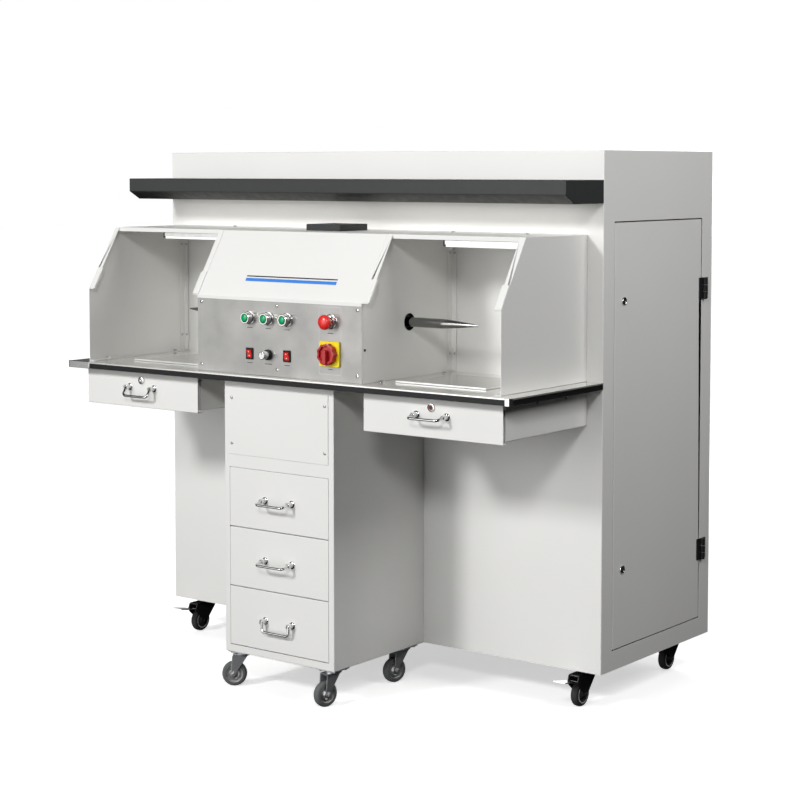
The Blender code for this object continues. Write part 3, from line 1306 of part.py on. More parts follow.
def brake_pedal(name, place, caster, material, fork):
    """Foot pedal on a pin between the fork's cheeks, tilted up when released."""
    x, y = place
    pivot = (y - caster.trail - PEDAL_PIVOT_AHEAD, PEDAL_PIVOT_RISE)
    half = PEDAL_WIDTH / 2
    inner = caster.width / 2 + caster.fork_gap - GAP
    front = pivot[0] - caster.axle - CHEEK_EYE
    plate = block((x - half, x + half), (front - PEDAL_LENGTH, front - PEDAL_THICK),
                  (pivot[1] - PEDAL_THICK / 2, pivot[1] + PEDAL_THICK / 2))
    arm = block((x - inner, x + inner), (front - 2 * PEDAL_THICK, pivot[0]),
                (pivot[1] - PEDAL_THICK / 2, pivot[1] + PEDAL_THICK / 2))
    barrel = rod("X", pivot, PEDAL_PIN, x - inner, x + inner)
    origin = (x, *pivot)
    return node(name, fuse([plate, arm, barrel]), material, fork, origin=origin, turn=(-PEDAL_TILT, 0, 0))


def build_casters(black, zinc, tyre, grey_tyre, steel, datum):
    """Four cabinet casters, the front two with brake pedals, and four pedestal casters."""
    for corner, place in cabinet_caster_places().items():
        fork = caster_fork(f"cabinet_{corner}_caster_fork", place, CABINET_CASTER, 0, black, datum)
        caster_wheel(f"cabinet_{corner}_caster_wheel", place, CABINET_CASTER, tyre, fork)
        if corner.startswith("front"):
            brake_pedal(f"cabinet_{corner}_brake_pedal", place, CABINET_CASTER, steel, fork)
    for corner, place in pedestal_caster_places().items():
        yaw = PEDESTAL_YAWS[corner]
        fork = caster_fork(f"pedestal_{corner}_caster_fork", place, PEDESTAL_CASTER, yaw, zinc, datum)
        caster_wheel(f"pedestal_{corner}_caster_wheel", place, PEDESTAL_CASTER, grey_tyre, fork)


def main():
    for thing in list(bpy.data.objects):
        bpy.data.objects.remove(thing)
    datum = bpy.data.objects.new("bench_datum", None)
    datum.location = (0, DATUM_Y, 0)
    bpy.context.collection.objects.link(datum)

    paint = finish("off_white_paint", (0.80, 0.80, 0.78), 0.45, 0.0)
    dark = finish("dark_grey_paint", (0.06, 0.065, 0.065), 0.4, 0.0)
    stainless = finish("brushed_stainless", (0.62, 0.61, 0.59), 0.35, 1.0)
    steel = finish("bright_steel", (0.70, 0.70, 0.70), 0.2, 1.0)
    zinc = finish("zinc_plate", (0.55, 0.56, 0.58), 0.35, 1.0)
    motor_paint = finish("motor_grey_paint", (0.25, 0.27, 0.29), 0.5, 0.0)
    filter_media = finish("filter_media", (0.75, 0.74, 0.68), 0.9, 0.0)
    black = finish("black_coating", (0.02, 0.02, 0.02), 0.45, 0.0)
    tyre = finish("black_tyre", (0.03, 0.03, 0.03), 0.7, 0.0)
    grey_tyre = finish("grey_tyre", (0.12, 0.13, 0.13), 0.7, 0.0)
    green = finish("green_lens", (0.0, 0.35, 0.12), 0.25, 0.0)
    red = finish("red_plastic", (0.55, 0.02, 0.015), 0.35, 0.0)

    cabinet_body(paint, datum)
    cabinet_base(paint, datum)
    rear_panel(paint, datum)
    door = side_door(paint, datum)
    for name, (y, z) in door_lock_places().items():
        door_lock(f"{name}_door_lock", y, z, steel, door)
    filter_bank(filter_media, datum)
    blower_housing(motor_paint, datum)
    blower_impeller(zinc, datum)

    lamp_bar(dark, datum)
    worktop(stainless, datum)
    for name, side in (("left", -1), ("right", 1)):
        hood(f"{name}_hood", side, paint, datum)
        spindle(f"{name}_spindle", side, steel, datum)
        drawer_housing(f"{name}_drawer_housing", side, paint, datum)
        catch_drawer(name, side, paint, steel, datum)
    control_box(paint, datum)
    control_panel(stainless, datum)
    spindle_motors(motor_paint, datum)
    for name, place in button_places().items():
        push_button(f"{name}_button", place, green, datum)
    for name, place in rocker_places().items():
        rocker(f"{name}_lamp_switch", place, red, datum)
    speed_knob(steel, datum)
    stop_button(red, datum)
    isolator_handle(red, datum)

    pedestal_case(paint, datum)
    access_panel(paint, datum)
    for index, name in enumerate(PEDESTAL_DRAWERS):
        pedestal_drawer(index, name, paint, steel, datum)
    build_casters(black, zinc, tyre, grey_tyre, steel, datum)
    bpy.context.view_layer.update()


main()
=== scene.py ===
"""Dresses a two-station polishing bench with a built-in dust collector, around its packed solids."""

import json
from functools import partial
from math import atan2, cos, pi, radians, tan, tau

import bmesh
import bpy
from bpy.props import FloatProperty, FloatVectorProperty, IntProperty, PointerProperty
from bpy.types import Operator, Panel, PropertyGroup
from mathutils import Matrix, Vector
from mathutils.bvhtree import BVHTree


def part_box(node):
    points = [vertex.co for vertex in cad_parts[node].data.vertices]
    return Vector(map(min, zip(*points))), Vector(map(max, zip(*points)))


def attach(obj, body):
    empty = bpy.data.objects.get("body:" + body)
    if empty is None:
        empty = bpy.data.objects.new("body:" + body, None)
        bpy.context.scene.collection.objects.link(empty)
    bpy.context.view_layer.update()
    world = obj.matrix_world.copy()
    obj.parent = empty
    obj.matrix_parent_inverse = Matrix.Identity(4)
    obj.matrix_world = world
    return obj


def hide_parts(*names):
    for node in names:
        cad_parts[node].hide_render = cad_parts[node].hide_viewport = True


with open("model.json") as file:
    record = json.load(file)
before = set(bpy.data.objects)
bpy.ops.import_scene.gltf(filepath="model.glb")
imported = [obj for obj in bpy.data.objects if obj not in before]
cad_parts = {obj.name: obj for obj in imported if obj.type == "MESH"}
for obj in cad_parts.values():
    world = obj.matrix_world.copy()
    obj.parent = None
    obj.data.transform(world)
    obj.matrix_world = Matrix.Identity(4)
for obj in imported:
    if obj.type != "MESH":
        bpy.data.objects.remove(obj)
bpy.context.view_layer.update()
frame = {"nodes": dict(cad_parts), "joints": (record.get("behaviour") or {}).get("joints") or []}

bl_info = {
    "name": "Polishing Bench",
    "version": (1, 0, 0),
    "blender": (4, 5, 0),
    "location": "3D View > Sidebar > Bench",
    "description": "Adds the finished pieces of a polishing bench with a dust collector",
    "category": "Add Mesh",
}

# The solids that other places are measured from
CABINET_LOW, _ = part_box("cabinet_body")
WORKTOP_LOW, WORKTOP_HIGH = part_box("worktop")
_, BOX_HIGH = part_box("control_box")
PANEL_LOW, PANEL_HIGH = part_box("control_panel")
DOOR_LOW, DOOR_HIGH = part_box("side_door")
LAMP_LOW, LAMP_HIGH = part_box("lamp_bar")
HOOD_LOW, HOOD_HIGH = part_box("right_hood")
ACCESS_LOW, ACCESS_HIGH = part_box("access_panel")
JOINTS = {joint["name"]: joint for joint in frame["joints"]}
FRONT_Y = ACCESS_HIGH.y             # front of the hoods, drawers and pedestal
SIDES = {"left": -1, "right": 1}
PEDESTAL_DRAWERS = ("lower_drawer", "middle_drawer", "upper_drawer")
CATCH_DRAWERS = ("left_catch_drawer", "right_catch_drawer")
CORNERS = ("front_left", "front_right", "rear_left", "rear_right")
BENCH = "bench"

MERGE = 1e-5                        # points closer than this are one
SHARP = radians(36)                 # edges that turn more than this stay sharp
FOLDED = radians(50)                # edges of a solid that turn more than this are folds or rims
FLAT = radians(0.4)                 # faces that turn less than this against each other are one
NARROW = 0.0032                     # a face narrower than this is the edge of a sheet
BROAD = 0.006                       # a face wider than this is flat sheet
SHORT = 0.004                       # edges shorter than this are left as they are
EASE = 0.0004                       # how far a fitting stands off the solid that it covers
FINE_EDGE = 0.0003                  # rounding of a thin plate's edges


# Settings

class BenchSheet(PropertyGroup):
    """Sheet metal and its folds."""
    thickness: FloatProperty(
        name="Sheet", description="Thickness of the folded steel", default=0.0015, unit="LENGTH")
    fold: FloatProperty(
        name="Fold", description="Outer radius of the folds", default=0.0024, unit="LENGTH")
    rim: FloatProperty(
        name="Rim", description="Rounding of a sheet's cut edges", default=0.0003, unit="LENGTH")
    hole: FloatProperty(
        name="Grate hole", description="Radius of the holes in the grates", default=0.0026, unit="LENGTH")
    hole_pitch: FloatProperty(
        name="Grate pitch", description="Distance between the grates' holes", default=0.0085, unit="LENGTH")


class BenchFittings(PropertyGroup):
    """Screws, trims and pulls."""
    screw: FloatProperty(
        name="Screw head", description="Radius of a screw's head", default=0.0042, unit="LENGTH")
    bolt: FloatProperty(
        name="Bolt", description="Half of a hexagon head's width across corners", default=0.0058,
        unit="LENGTH")
    pull_wire: FloatProperty(
        name="Pull wire", description="Radius of the drawer pulls' wire", default=0.0035, unit="LENGTH")
    pull_bend: FloatProperty(
        name="Pull bend", description="Bend radius of the drawer pulls' wire", default=0.0095,
        unit="LENGTH")
    stripe: FloatProperty(
        name="Stripe", description="Width of the cover's wide stripe", default=0.009, unit="LENGTH")
    pleats: IntProperty(
        name="Pleats", description="Pleats round a filter cartridge", default=60)


class BenchColours(PropertyGroup):
    """Colours of paints, plastics and metals."""
    paint: FloatVectorProperty(
        name="Paint", description="Powder coat of the sheet metal", default=(0.80, 0.795, 0.775),
        subtype="COLOR")
    lamp: FloatVectorProperty(
        name="Lamp bar", description="Paint of the lamp bar", default=(0.033, 0.035, 0.0345),
        subtype="COLOR")
    # Black also colours the worktop's edge band, where its near-black is painted dark reflection of a
    # polished edge
    black: FloatVectorProperty(
        name="Black", description="Hinges, edge band and black casters", default=(0.012, 0.012, 0.013),
        subtype="COLOR")
    stainless: FloatVectorProperty(
        name="Stainless", description="Control panel and worktop", default=(0.76, 0.752, 0.725),
        subtype="COLOR")
    chrome: FloatVectorProperty(
        name="Chrome", description="Pulls, caps and bezels", default=(0.72, 0.72, 0.71), subtype="COLOR")
    zinc: FloatVectorProperty(
        name="Zinc", description="Pedestal casters", default=(0.56, 0.56, 0.55), subtype="COLOR")
    rubber: FloatVectorProperty(
        name="Grey rubber", description="Pedestal casters' tyres", default=(0.075, 0.077, 0.08),
        subtype="COLOR")
    green: FloatVectorProperty(
        name="Green", description="Push-button lenses", default=(0.0, 0.42, 0.16), subtype="COLOR")
    red: FloatVectorProperty(
        name="Red", description="Emergency stop and lamp switches", default=(0.80, 0.028, 0.022),
        subtype="COLOR")
    dark_red: FloatVectorProperty(
        name="Dark red", description="Isolator handle", default=(0.46, 0.016, 0.018), subtype="COLOR")
    copper: FloatVectorProperty(
        name="Copper", description="Ring of one drawer lock", default=(0.46, 0.13, 0.07), subtype="COLOR")
    yellow: FloatVectorProperty(
        name="Yellow", description="Isolator plate", default=(0.92, 0.72, 0.0), subtype="COLOR")
    blue: FloatVectorProperty(
        name="Blue", description="Stripe on the sloping cover", default=(0.045, 0.24, 0.75),
        subtype="COLOR")
    filter: FloatVectorProperty(
        name="Filter paper", description="Pleated filter cartridges", default=(0.72, 0.68, 0.57),
        subtype="COLOR")
    motor: FloatVectorProperty(
        name="Motor paint", description="Motors and fan housing", default=(0.20, 0.215, 0.225),
        subtype="COLOR")
    ink: FloatVectorProperty(
        name="Ink", description="Dark printing", default=(0.03, 0.032, 0.036), subtype="COLOR")


class BenchStudio(PropertyGroup):
    """Light, floor and camera."""
    left_power: FloatProperty(
        name="Left light", description="Power of the front light on the left", default=136.0, unit="POWER")
    right_power: FloatProperty(
        name="Right light", description="Power of the front light on the right", default=78.0, unit="POWER")
    front_size: FloatProperty(
        name="Front size", description="Width of each front light", default=0.75, unit="LENGTH")
    side_power: FloatProperty(
        name="Side light", description="Power of the light on the door's side", default=41.0, unit="POWER")
    side_size: FloatProperty(
        name="Side size", description="Width of the light on the door's side", default=1.4, unit="LENGTH")
    top_power: FloatProperty(
        name="Top light", description="Power of the light overhead", default=6.0, unit="POWER")
    top_size: FloatProperty(
        name="Top size", description="Width of the light overhead", default=3.0, unit="LENGTH")
    rear_power: FloatProperty(
        name="Rear light", description="Power of the light behind the bench", default=140.0, unit="POWER")
    rear_size: FloatProperty(
        name="Rear size", description="Width of the light behind the bench", default=2.4, unit="LENGTH")
    front_air: FloatProperty(
        name="Front air", description="Brightness of the air before and behind the bench", default=3.6)
    end_air: FloatProperty(
        name="End air", description="Brightness of the air at the bench's ends and overhead", default=0.03)
    low_air: FloatProperty(
        name="Low air", description="Share of the air's brightness that comes from below", default=0.3)
    glow: FloatProperty(
        name="Floor glow", description="Light that the floor gives by itself near the bench", default=0.55)
    floor: FloatVectorProperty(
        name="Floor", description="Colour of the floor", default=(0.93, 0.93, 0.925), subtype="COLOR")
    lens: FloatProperty(
        name="Lens", description="Focal length on a 36 mm sensor, in millimetres", default=85.145)


SETTINGS = {
    "bench_sheet": BenchSheet,
    "bench_fittings": BenchFittings,
    "bench_colours": BenchColours,
    "bench_studio": BenchStudio,
}


def sheet():
    """The sheet metal's settings."""
    return bpy.context.scene.bench_sheet


def fittings():
    """The settings of screws, trims and pulls."""
    return bpy.context.scene.bench_fittings


def colours():
    """The colours."""
    return bpy.context.scene.bench_colours


# Finishes

LED_LIGHT = (1.0, 0.98, 0.94)


def surface(name, roughness=0.5, metallic=0.0, specular=0.5):
    """A new material, with its nodes, shader and object coordinates."""
    material = bpy.data.materials.new(name)
    material.use_nodes = True
    tree = material.node_tree
    shader = tree.nodes["Principled BSDF"]
    shader.inputs["Roughness"].default_value = roughness
    shader.inputs["Metallic"].default_value = metallic
    shader.inputs["Specular IOR Level"].default_value = specular
    coords = tree.nodes.new("ShaderNodeTexCoord").outputs["Object"]
    return material, tree, shader, coords


def noise(tree, coords, scale, detail=3.0, stretch=(1, 1, 1)):
    """Noise of a given fineness, drawn out along an axis where stretch is small."""
    mapping = tree.nodes.new("ShaderNodeMapping")
    mapping.inputs["Scale"].default_value = stretch
    texture = tree.nodes.new("ShaderNodeTexNoise")
    texture.inputs["Scale"].default_value = scale
    texture.inputs["Detail"].default_value = detail
    tree.links.new(coords, mapping.inputs["Vector"])
    tree.links.new(mapping.outputs["Vector"], texture.inputs["Vector"])
    return texture.outputs["Fac"]


def spread(tree, factor, low, high, start=0.3, end=0.7):
    """Spreads the stretch of a value between start and end over a range."""
    scale = tree.nodes.new("ShaderNodeMapRange")
    scale.inputs["From Min"].default_value = start
    scale.inputs["From Max"].default_value = end
    scale.inputs["To Min"].default_value = low
    scale.inputs["To Max"].default_value = high
    tree.links.new(factor, scale.inputs["Value"])
    return scale.outputs["Result"]


def math_node(tree, operation, *values):
    """The outcome of one sum on linked values or numbers."""
    node = tree.nodes.new("ShaderNodeMath")
    node.operation = operation
    for value, socket in zip(values, node.inputs):
        if isinstance(value, float):
            socket.default_value = value
        else:
            tree.links.new(value, socket)
    return node.outputs["Value"]


def tint(tree, shader, factor, first, second):
    """Colours the shader between two colours."""
    mix = tree.nodes.new("ShaderNodeMix")
    mix.data_type = "RGBA"
    mix.inputs["A"].default_value = (*first, 1)
    mix.inputs["B"].default_value = (*second, 1)
    tree.links.new(spread(tree, factor, 0, 1), mix.inputs["Factor"])
    tree.links.new(mix.outputs["Result"], shader.inputs["Base Color"])


def relief(tree, shader, height, strength, depth):
    """Raises the surface by a noise."""
    bump = tree.nodes.new("ShaderNodeBump")
    bump.inputs["Strength"].default_value = strength
    bump.inputs["Distance"].default_value = depth
    tree.links.new(height, bump.inputs["Height"])
    tree.links.new(bump.outputs["Normal"], shader.inputs["Normal"])


def darker(colour, share):
    """A colour with a share of its light taken away."""
    return tuple(part * (1 - share) for part in colour)


def painted(name, colour, roughness, peel, specular=0.5):
    """Powder coat: faint cloudiness, a fine orange peel and uneven gloss."""
    material, tree, shader, coords = surface(name, specular=specular)
    tint(tree, shader, noise(tree, coords, 2.3), darker(colour, 0.035), colour)
    gloss = spread(tree, noise(tree, coords, 55), roughness - 0.05, roughness + 0.06)
    tree.links.new(gloss, shader.inputs["Roughness"])
    relief(tree, shader, noise(tree, coords, 950, 2), peel, 0.0003)
    return material


def moulded(name, colour, roughness, coat=0.0, specular=0.5, glow=0.0, light=None):
    """Moulded plastic or rubber: a fine grain and a little colour variation, or lit from within."""
    material, tree, shader, coords = surface(name, specular=specular)
    shader.inputs["Coat Weight"].default_value = coat
    shader.inputs["Coat Roughness"].default_value = 0.12
    if glow:
        shader.inputs["Emission Color"].default_value = (*(light or colour), 1)
        shader.inputs["Emission Strength"].default_value = glow
    tint(tree, shader, noise(tree, coords, 160), darker(colour, 0.12), colour)
    gloss = spread(tree, noise(tree, coords, 420), roughness - 0.06, roughness + 0.08)
    tree.links.new(gloss, shader.inputs["Roughness"])
    relief(tree, shader, noise(tree, coords, 1700, 1), 0.12, 0.0002)
    return material


def metal(name, colour, roughness, scale, cloud, shade, scratch, stretch=(1, 1, 1), bare=1.0):
    """Bare metal: cloudy tone, and scratches drawn out along the direction of the grain."""
    material, tree, shader, coords = surface(name, metallic=bare)
    tint(tree, shader, noise(tree, coords, cloud, 5), darker(colour, shade), colour)
    grain = noise(tree, coords, scale, 4, stretch)
    gloss = spread(tree, grain, roughness * 0.75, roughness * 1.25)
    tree.links.new(gloss, shader.inputs["Roughness"])
    relief(tree, shader, grain, scratch, 0.0004)
    return material


def fibrous(name, colour):
    """Filter paper with fibres and settled dust."""
    material, tree, shader, coords = surface(name, roughness=0.9)
    tint(tree, shader, noise(tree, coords, 35, 6), darker(colour, 0.3), colour)
    relief(tree, shader, noise(tree, coords, 600, 4), 0.4, 0.0006)
    return material


frosted = partial(moulded, roughness=0.35, coat=0.2, glow=0.5, light=LED_LIGHT)

# Each finish: its slot, its colour, the share of light taken from that colour, and its recipe; for some
# finishes that share is painted shade, or painted light where it is below nought
FINISHES = {
    "powder_coat": ("off_white_paint", "paint", 0, partial(painted, roughness=0.48, peel=0.16)),
    "lamp_coat": ("dark_grey_paint", "lamp", 0, partial(painted, roughness=0.45, peel=0.14, specular=0.3)),
    "motor_paint": ("motor_grey_paint", "motor", 0, partial(painted, roughness=0.5, peel=0.2)),
    "satin_black": ("black_coating", "black", 0, partial(painted, roughness=0.42, peel=0.2)),
    # Panel stainless: the darker colour is painted shade, a shaded copy of the worktop's stainless
    "panel_stainless": ("brushed_stainless", "stainless", 0.42, partial(
        metal, roughness=0.38, scale=900, cloud=9, shade=0.26, scratch=0.05, stretch=(0.08, 1, 1),
        bare=0.68)),
    # Worktop stainless: the lighter colour is painted light, a lit copy of the panel's stainless
    "top_stainless": ("brushed_stainless", "stainless", -0.15, partial(
        metal, roughness=0.15, scale=620, cloud=5, shade=0.06, scratch=0.012, stretch=(1, 0.05, 1),
        bare=0.75)),
    "polished_steel": ("bright_steel", "chrome", 0, partial(
        metal, roughness=0.13, scale=90, cloud=20, shade=0.06, scratch=0.02)),
    # Spindle steel: the chrome made much darker is painted dark reflection, for polished steel that mirrors
    # dark surroundings
    "turned_steel": ("bright_steel", "chrome", 0.62, partial(
        metal, roughness=0.16, scale=900, cloud=30, shade=0.15, scratch=0.03, stretch=(1, 0.02, 0.02))),
    "zinc_plate": ("zinc_plate", "zinc", 0, partial(
        metal, roughness=0.34, scale=70, cloud=150, shade=0.25, scratch=0.08)),
    "hub_silver": ("zinc_plate", "chrome", 0, partial(
        metal, roughness=0.4, scale=200, cloud=60, shade=0.12, scratch=0.05)),
    # Black mouldings; on the worktop's edge band this near-black is painted reflection, standing for a
    # polished edge that mirrors a dark room
    "edge_band": ("black_coating", "black", 0.4, partial(moulded, roughness=0.38, specular=0.3)),
    "black_tyre": ("black_tyre", "black", 0, partial(moulded, roughness=0.55)),
    "grey_tyre": ("grey_tyre", "rubber", 0, partial(moulded, roughness=0.55)),
    "white_moulding": ("off_white_paint", "paint", 0, partial(moulded, roughness=0.4)),
    "lamp_cover": ("off_white_paint", "paint", 0.05, frosted),
    "strip_cover": ("off_white_paint", "paint", 0.05, frosted),
    "green_lens": ("green_lens", "green", 0, partial(moulded, roughness=0.22, coat=0.6, glow=0.25)),
    "red_moulding": ("red_plastic", "red", 0, partial(moulded, roughness=0.30, coat=0.3)),
    "dark_red_moulding": ("red_plastic", "dark_red", 0, partial(moulded, roughness=0.36, coat=0.1)),
    "yellow_moulding": ("red_plastic", "yellow", 0, partial(moulded, roughness=0.38)),
    "copper_ring": ("red_plastic", "copper", 0, partial(moulded, roughness=0.35)),
    "dark_print": ("black_coating", "ink", 0, partial(moulded, roughness=0.5)),
    "blue_print": ("black_coating", "blue", 0, partial(moulded, roughness=0.42)),
    "filter_paper": ("filter_media", "filter", 0, fibrous),
}


def finish(name):
    """A finish's material, made when it is first used."""
    made = bpy.data.materials.get(name)
    if made:
        return made
    _, colour, share, recipe = FINISHES[name]
    return recipe(name, darker(getattr(colours(), colour), share))


# Shapes

FACINGS = {
    "up": Matrix.Identity(4),
    "down": Matrix.Rotation(pi, 4, "X"),
    "front": Matrix.Rotation(pi / 2, 4, "X"),
    "rear": Matrix.Rotation(-pi / 2, 4, "X"),
    "right": Matrix.Rotation(pi / 2, 4, "Z") @ Matrix.Rotation(pi / 2, 4, "X"),
    "left": Matrix.Rotation(-pi / 2, 4, "Z") @ Matrix.Rotation(pi / 2, 4, "X"),
}


def seat(place, facing="up"):
    """The matrix that stands a shape, drawn upright, on a place that faces one way."""
    return Matrix.Translation(place) @ FACINGS[facing]


def absorb(bm, part, place=Matrix.Identity(4)):
    """Moves a part's faces into a piece, closed and facing out."""
    bmesh.ops.remove_doubles(part, verts=part.verts, dist=MERGE)
    bmesh.ops.recalc_face_normals(part, faces=part.faces)
    part.transform(place)
    mesh = bpy.data.meshes.new("part")
    part.to_mesh(mesh)
    part.free()
    bm.from_mesh(mesh)
    bpy.data.meshes.remove(mesh)


def points_of(geometry):
    """The points among what an operator gives back."""
    return [item for item in geometry if isinstance(item, bmesh.types.BMVert)]


def everything(part):
    """All points, edges and faces of a part."""
    return part.verts[:] + part.edges[:] + part.faces[:]


def open_edges(part):
    """The edges round a part's openings."""
    return [item for item in part.edges if item.is_boundary]


def sharp_edges(part):
    """The edges of a part that turn sharply."""
    return [item for item in part.edges if item.calc_face_angle(0) > SHARP]


def rounded(part, geometry, radius, segments=2, affect="EDGES", clamp=True):
    """Rounds edges or corners of a part."""
    bmesh.ops.bevel(
        part, geom=list(geometry), offset=radius, offset_type="OFFSET", segments=segments, profile=0.5,
        affect=affect, clamp_overlap=clamp, material=-1,
    )


def slab(bm, low, high, radius=0.0, segments=2, place=Matrix.Identity(4)):
    """A block between two corners, with rounded edges."""
    low, high = Vector(low), Vector(high)
    part = bmesh.new()
    shape = Matrix.Translation((low + high) / 2) @ Matrix.Diagonal((*(high - low), 1))
    bmesh.ops.create_cube(part, size=1, matrix=shape)
    if radius:
        rounded(part, part.edges, radius, segments)
    absorb(bm, part, place)


def lathe(bm, profile, place, segments=32):
    """A turned shape: a profile of (radius, height) points spun once round its upright axis."""
    part = bmesh.new()
    verts = [part.verts.new((radius, 0, height)) for radius, height in profile]
    edges = [part.edges.new(pair) for pair in zip(verts, verts[1:])]
    bmesh.ops.spin(
        part, geom=verts + edges, cent=(0, 0, 0), axis=(0, 0, 1), angle=tau, steps=segments,
        use_merge=True,
    )
    absorb(bm, part, place)


def outline_face(part, outline, corner=0.0):
    """A flat face with rounded corners."""
    part.faces.new([part.verts.new((x, y, 0)) for x, y in outline])
    if corner:
        rounded(part, part.verts, corner, 4, "VERTICES")


def raise_faces(part, height):
    """Extrudes all faces of a part upwards into a closed solid."""
    grown = bmesh.ops.extrude_face_region(part, geom=list(part.faces))["geom"]
    bmesh.ops.translate(part, verts=points_of(grown), vec=(0, 0, height))


def raise_edges(part, height):
    """Extrudes all edges of a part upwards into a wall."""
    grown = bmesh.ops.extrude_edge_only(part, edges=list(part.edges))["geom"]
    bmesh.ops.translate(part, verts=points_of(grown), vec=(0, 0, height))


def plate(bm, outline, height, place, corner=0.0, edge=0.0):
    """A plate of a given outline, raised to a height, with rounded corners and edges."""
    part = bmesh.new()
    outline_face(part, outline, corner)
    raise_faces(part, height)
    if edge:
        bmesh.ops.recalc_face_normals(part, faces=part.faces)
        level = [item for item in sharp_edges(part) if item.verts[0].co.z == item.verts[1].co.z]
        rounded(part, level, edge)
    absorb(bm, part, place)


def rectangle(width, height, middle=(0, 0)):
    """Corners of a rectangle about its middle."""
    x, y = middle
    return [(x + sx * width / 2, y + sy * height / 2) for sx, sy in ((-1, -1), (1, -1), (1, 1), (-1, 1))]


def frame_strip(bm, outer, width, height, place, corner=0.0):
    """A raised strip that follows the inside of a rectangle."""
    part = bmesh.new()
    outline_face(part, outer, corner)
    bmesh.ops.inset_region(part, faces=list(part.faces), thickness=width, use_boundary=True,
                           use_even_offset=True)
    bmesh.ops.delete(part, geom=[max(part.faces, key=lambda item: item.calc_area())], context="FACES")
    raise_faces(part, height)
    absorb(bm, part, place)


def windowed(bm, low, high, thickness, windows, place=Matrix.Identity(4), edge=0.0):
    """A flat sheet with rectangular windows, each given by its two corners."""
    part = bmesh.new()
    outline_face(part, [(low[0], low[1]), (high[0], low[1]), (high[0], high[1]), (low[0], high[1])])
    for first, second in windows:
        for axis in (0, 1):
            for side in (first[axis], second[axis]):
                across = Vector((1, 0, 0)) if axis == 0 else Vector((0, 1, 0))
                bmesh.ops.bisect_plane(
                    part, geom=everything(part), dist=MERGE / 10, plane_co=across * side, plane_no=across)
    cut = []
    for face in part.faces:
        middle = face.calc_center_median()
        if any(a[0] < middle.x < b[0] and a[1] < middle.y < b[1] for a, b in windows):
            cut.append(face)
    bmesh.ops.delete(part, geom=cut, context="FACES")
    raise_faces(part, thickness)
    if edge:
        bmesh.ops.recalc_face_normals(part, faces=part.faces)
        rounded(part, sharp_edges(part), edge)
    absorb(bm, part, place)


def bent_sheet(bm, path, thickness, height, place, fold=0.0, edge=0.0):
    """A strip bent along a path in plan, with its thickness to the left of the path."""
    part = bmesh.new()
    verts = [part.verts.new((x, y, 0)) for x, y in path]
    for pair in zip(verts, verts[1:]):
        part.edges.new(pair)
    if fold:
        rounded(part, verts[1:-1], fold, 5, "VERTICES")
    raise_edges(part, height)
    bmesh.ops.recalc_face_normals(part, faces=part.faces)
    first = min(part.faces, key=lambda face: (face.calc_center_median().to_2d() - Vector(path[0])).length)
    run = Vector(path[1]) - Vector(path[0])
    if first.normal.x * run.y - first.normal.y * run.x < 0:
        bmesh.ops.reverse_faces(part, faces=list(part.faces))
    bmesh.ops.solidify(part, geom=list(part.faces), thickness=thickness)
    bmesh.ops.recalc_face_normals(part, faces=part.faces)
    if edge:
        rounded(part, sharp_edges(part), edge)
    absorb(bm, part, place)


def bent_wire(bm, corners, radius, bend, place, sides=14, steps=6):
    """A round wire along straight runs with bent corners and closed ends."""
    part = bmesh.new()
    corners = [Vector(corner) for corner in corners]
    runs = [(end - start).normalized() for start, end in zip(corners, corners[1:])]
    start = Matrix.Translation(corners[0]) @ runs[0].to_track_quat("Z", "Y").to_matrix().to_4x4()
    bmesh.ops.create_circle(part, cap_ends=False, segments=sides, radius=radius, matrix=start)
    ring = list(part.edges)
    here = corners[0]
    for index, run in enumerate(runs):
        last = index == len(runs) - 1
        turn = 0.0 if last else run.angle(runs[index + 1])
        setback = bend * tan(turn / 2)
        stop = corners[index + 1] - run * setback
        grown = bmesh.ops.extrude_edge_only(part, edges=ring)["geom"]
        moved = points_of(grown)
        bmesh.ops.translate(part, verts=moved, vec=stop - here)
        ring = [item for item in grown if isinstance(item, bmesh.types.BMEdge)]
        ring = [item for item in ring if all(vert in moved for vert in item.verts)]
        if last:
            break
        axis = run.cross(runs[index + 1]).normalized()
        swept = bmesh.ops.spin(
            part, geom=ring, cent=stop + axis.cross(run) * bend, axis=axis, angle=turn, steps=steps,
        )["geom_last"]
        ring = [item for item in swept if isinstance(item, bmesh.types.BMEdge)]
        here = corners[index + 1] + runs[index + 1] * setback
    bmesh.ops.holes_fill(part, edges=open_edges(part), sides=0)
    absorb(bm, part, place)


def screw_head(bm, place, radius):
    """A pan head with a real cross recess: a grid whose middle cross is sunk, bridged to a round rim."""
    part = bmesh.new()
    arm, slot, depth, height = 0.55 * radius, 0.16 * radius, 0.35 * radius, 0.5 * radius
    bmesh.ops.create_grid(part, x_segments=3, y_segments=3, size=1)
    for vert in part.verts:
        vert.co.x = (arm if abs(vert.co.x) > 0.5 else slot) * (1 if vert.co.x > 0 else -1)
        vert.co.y = (arm if abs(vert.co.y) > 0.5 else slot) * (1 if vert.co.y > 0 else -1)
        vert.co.z = height
    cross = [face for face in part.faces if min(map(abs, face.calc_center_median()[:2])) < MERGE]
    square = open_edges(part)
    crown = Matrix.Translation((0, 0, height * 0.85)) @ Matrix.Rotation(pi / 2, 4, "Z")
    bmesh.ops.create_circle(part, segments=12, radius=radius * 0.85, matrix=crown)
    ring = [item for item in part.edges if item.is_wire]
    bmesh.ops.bridge_loops(part, edges=square + ring)
    sunk = bmesh.ops.extrude_face_region(part, geom=cross)["geom"]
    bmesh.ops.delete(part, geom=cross, context="FACES_ONLY")
    bmesh.ops.translate(part, verts=points_of(sunk), vec=(0, 0, -depth))
    for reach, drop in ((1.17, 0.3 * height), (1.0, 0.55 * height)):
        grown = bmesh.ops.extrude_edge_only(part, edges=open_edges(part))["geom"]
        moved = points_of(grown)
        bmesh.ops.scale(part, verts=moved, vec=(reach, reach, 1))
        bmesh.ops.translate(part, verts=moved, vec=(0, 0, -drop))
    absorb(bm, part, place)


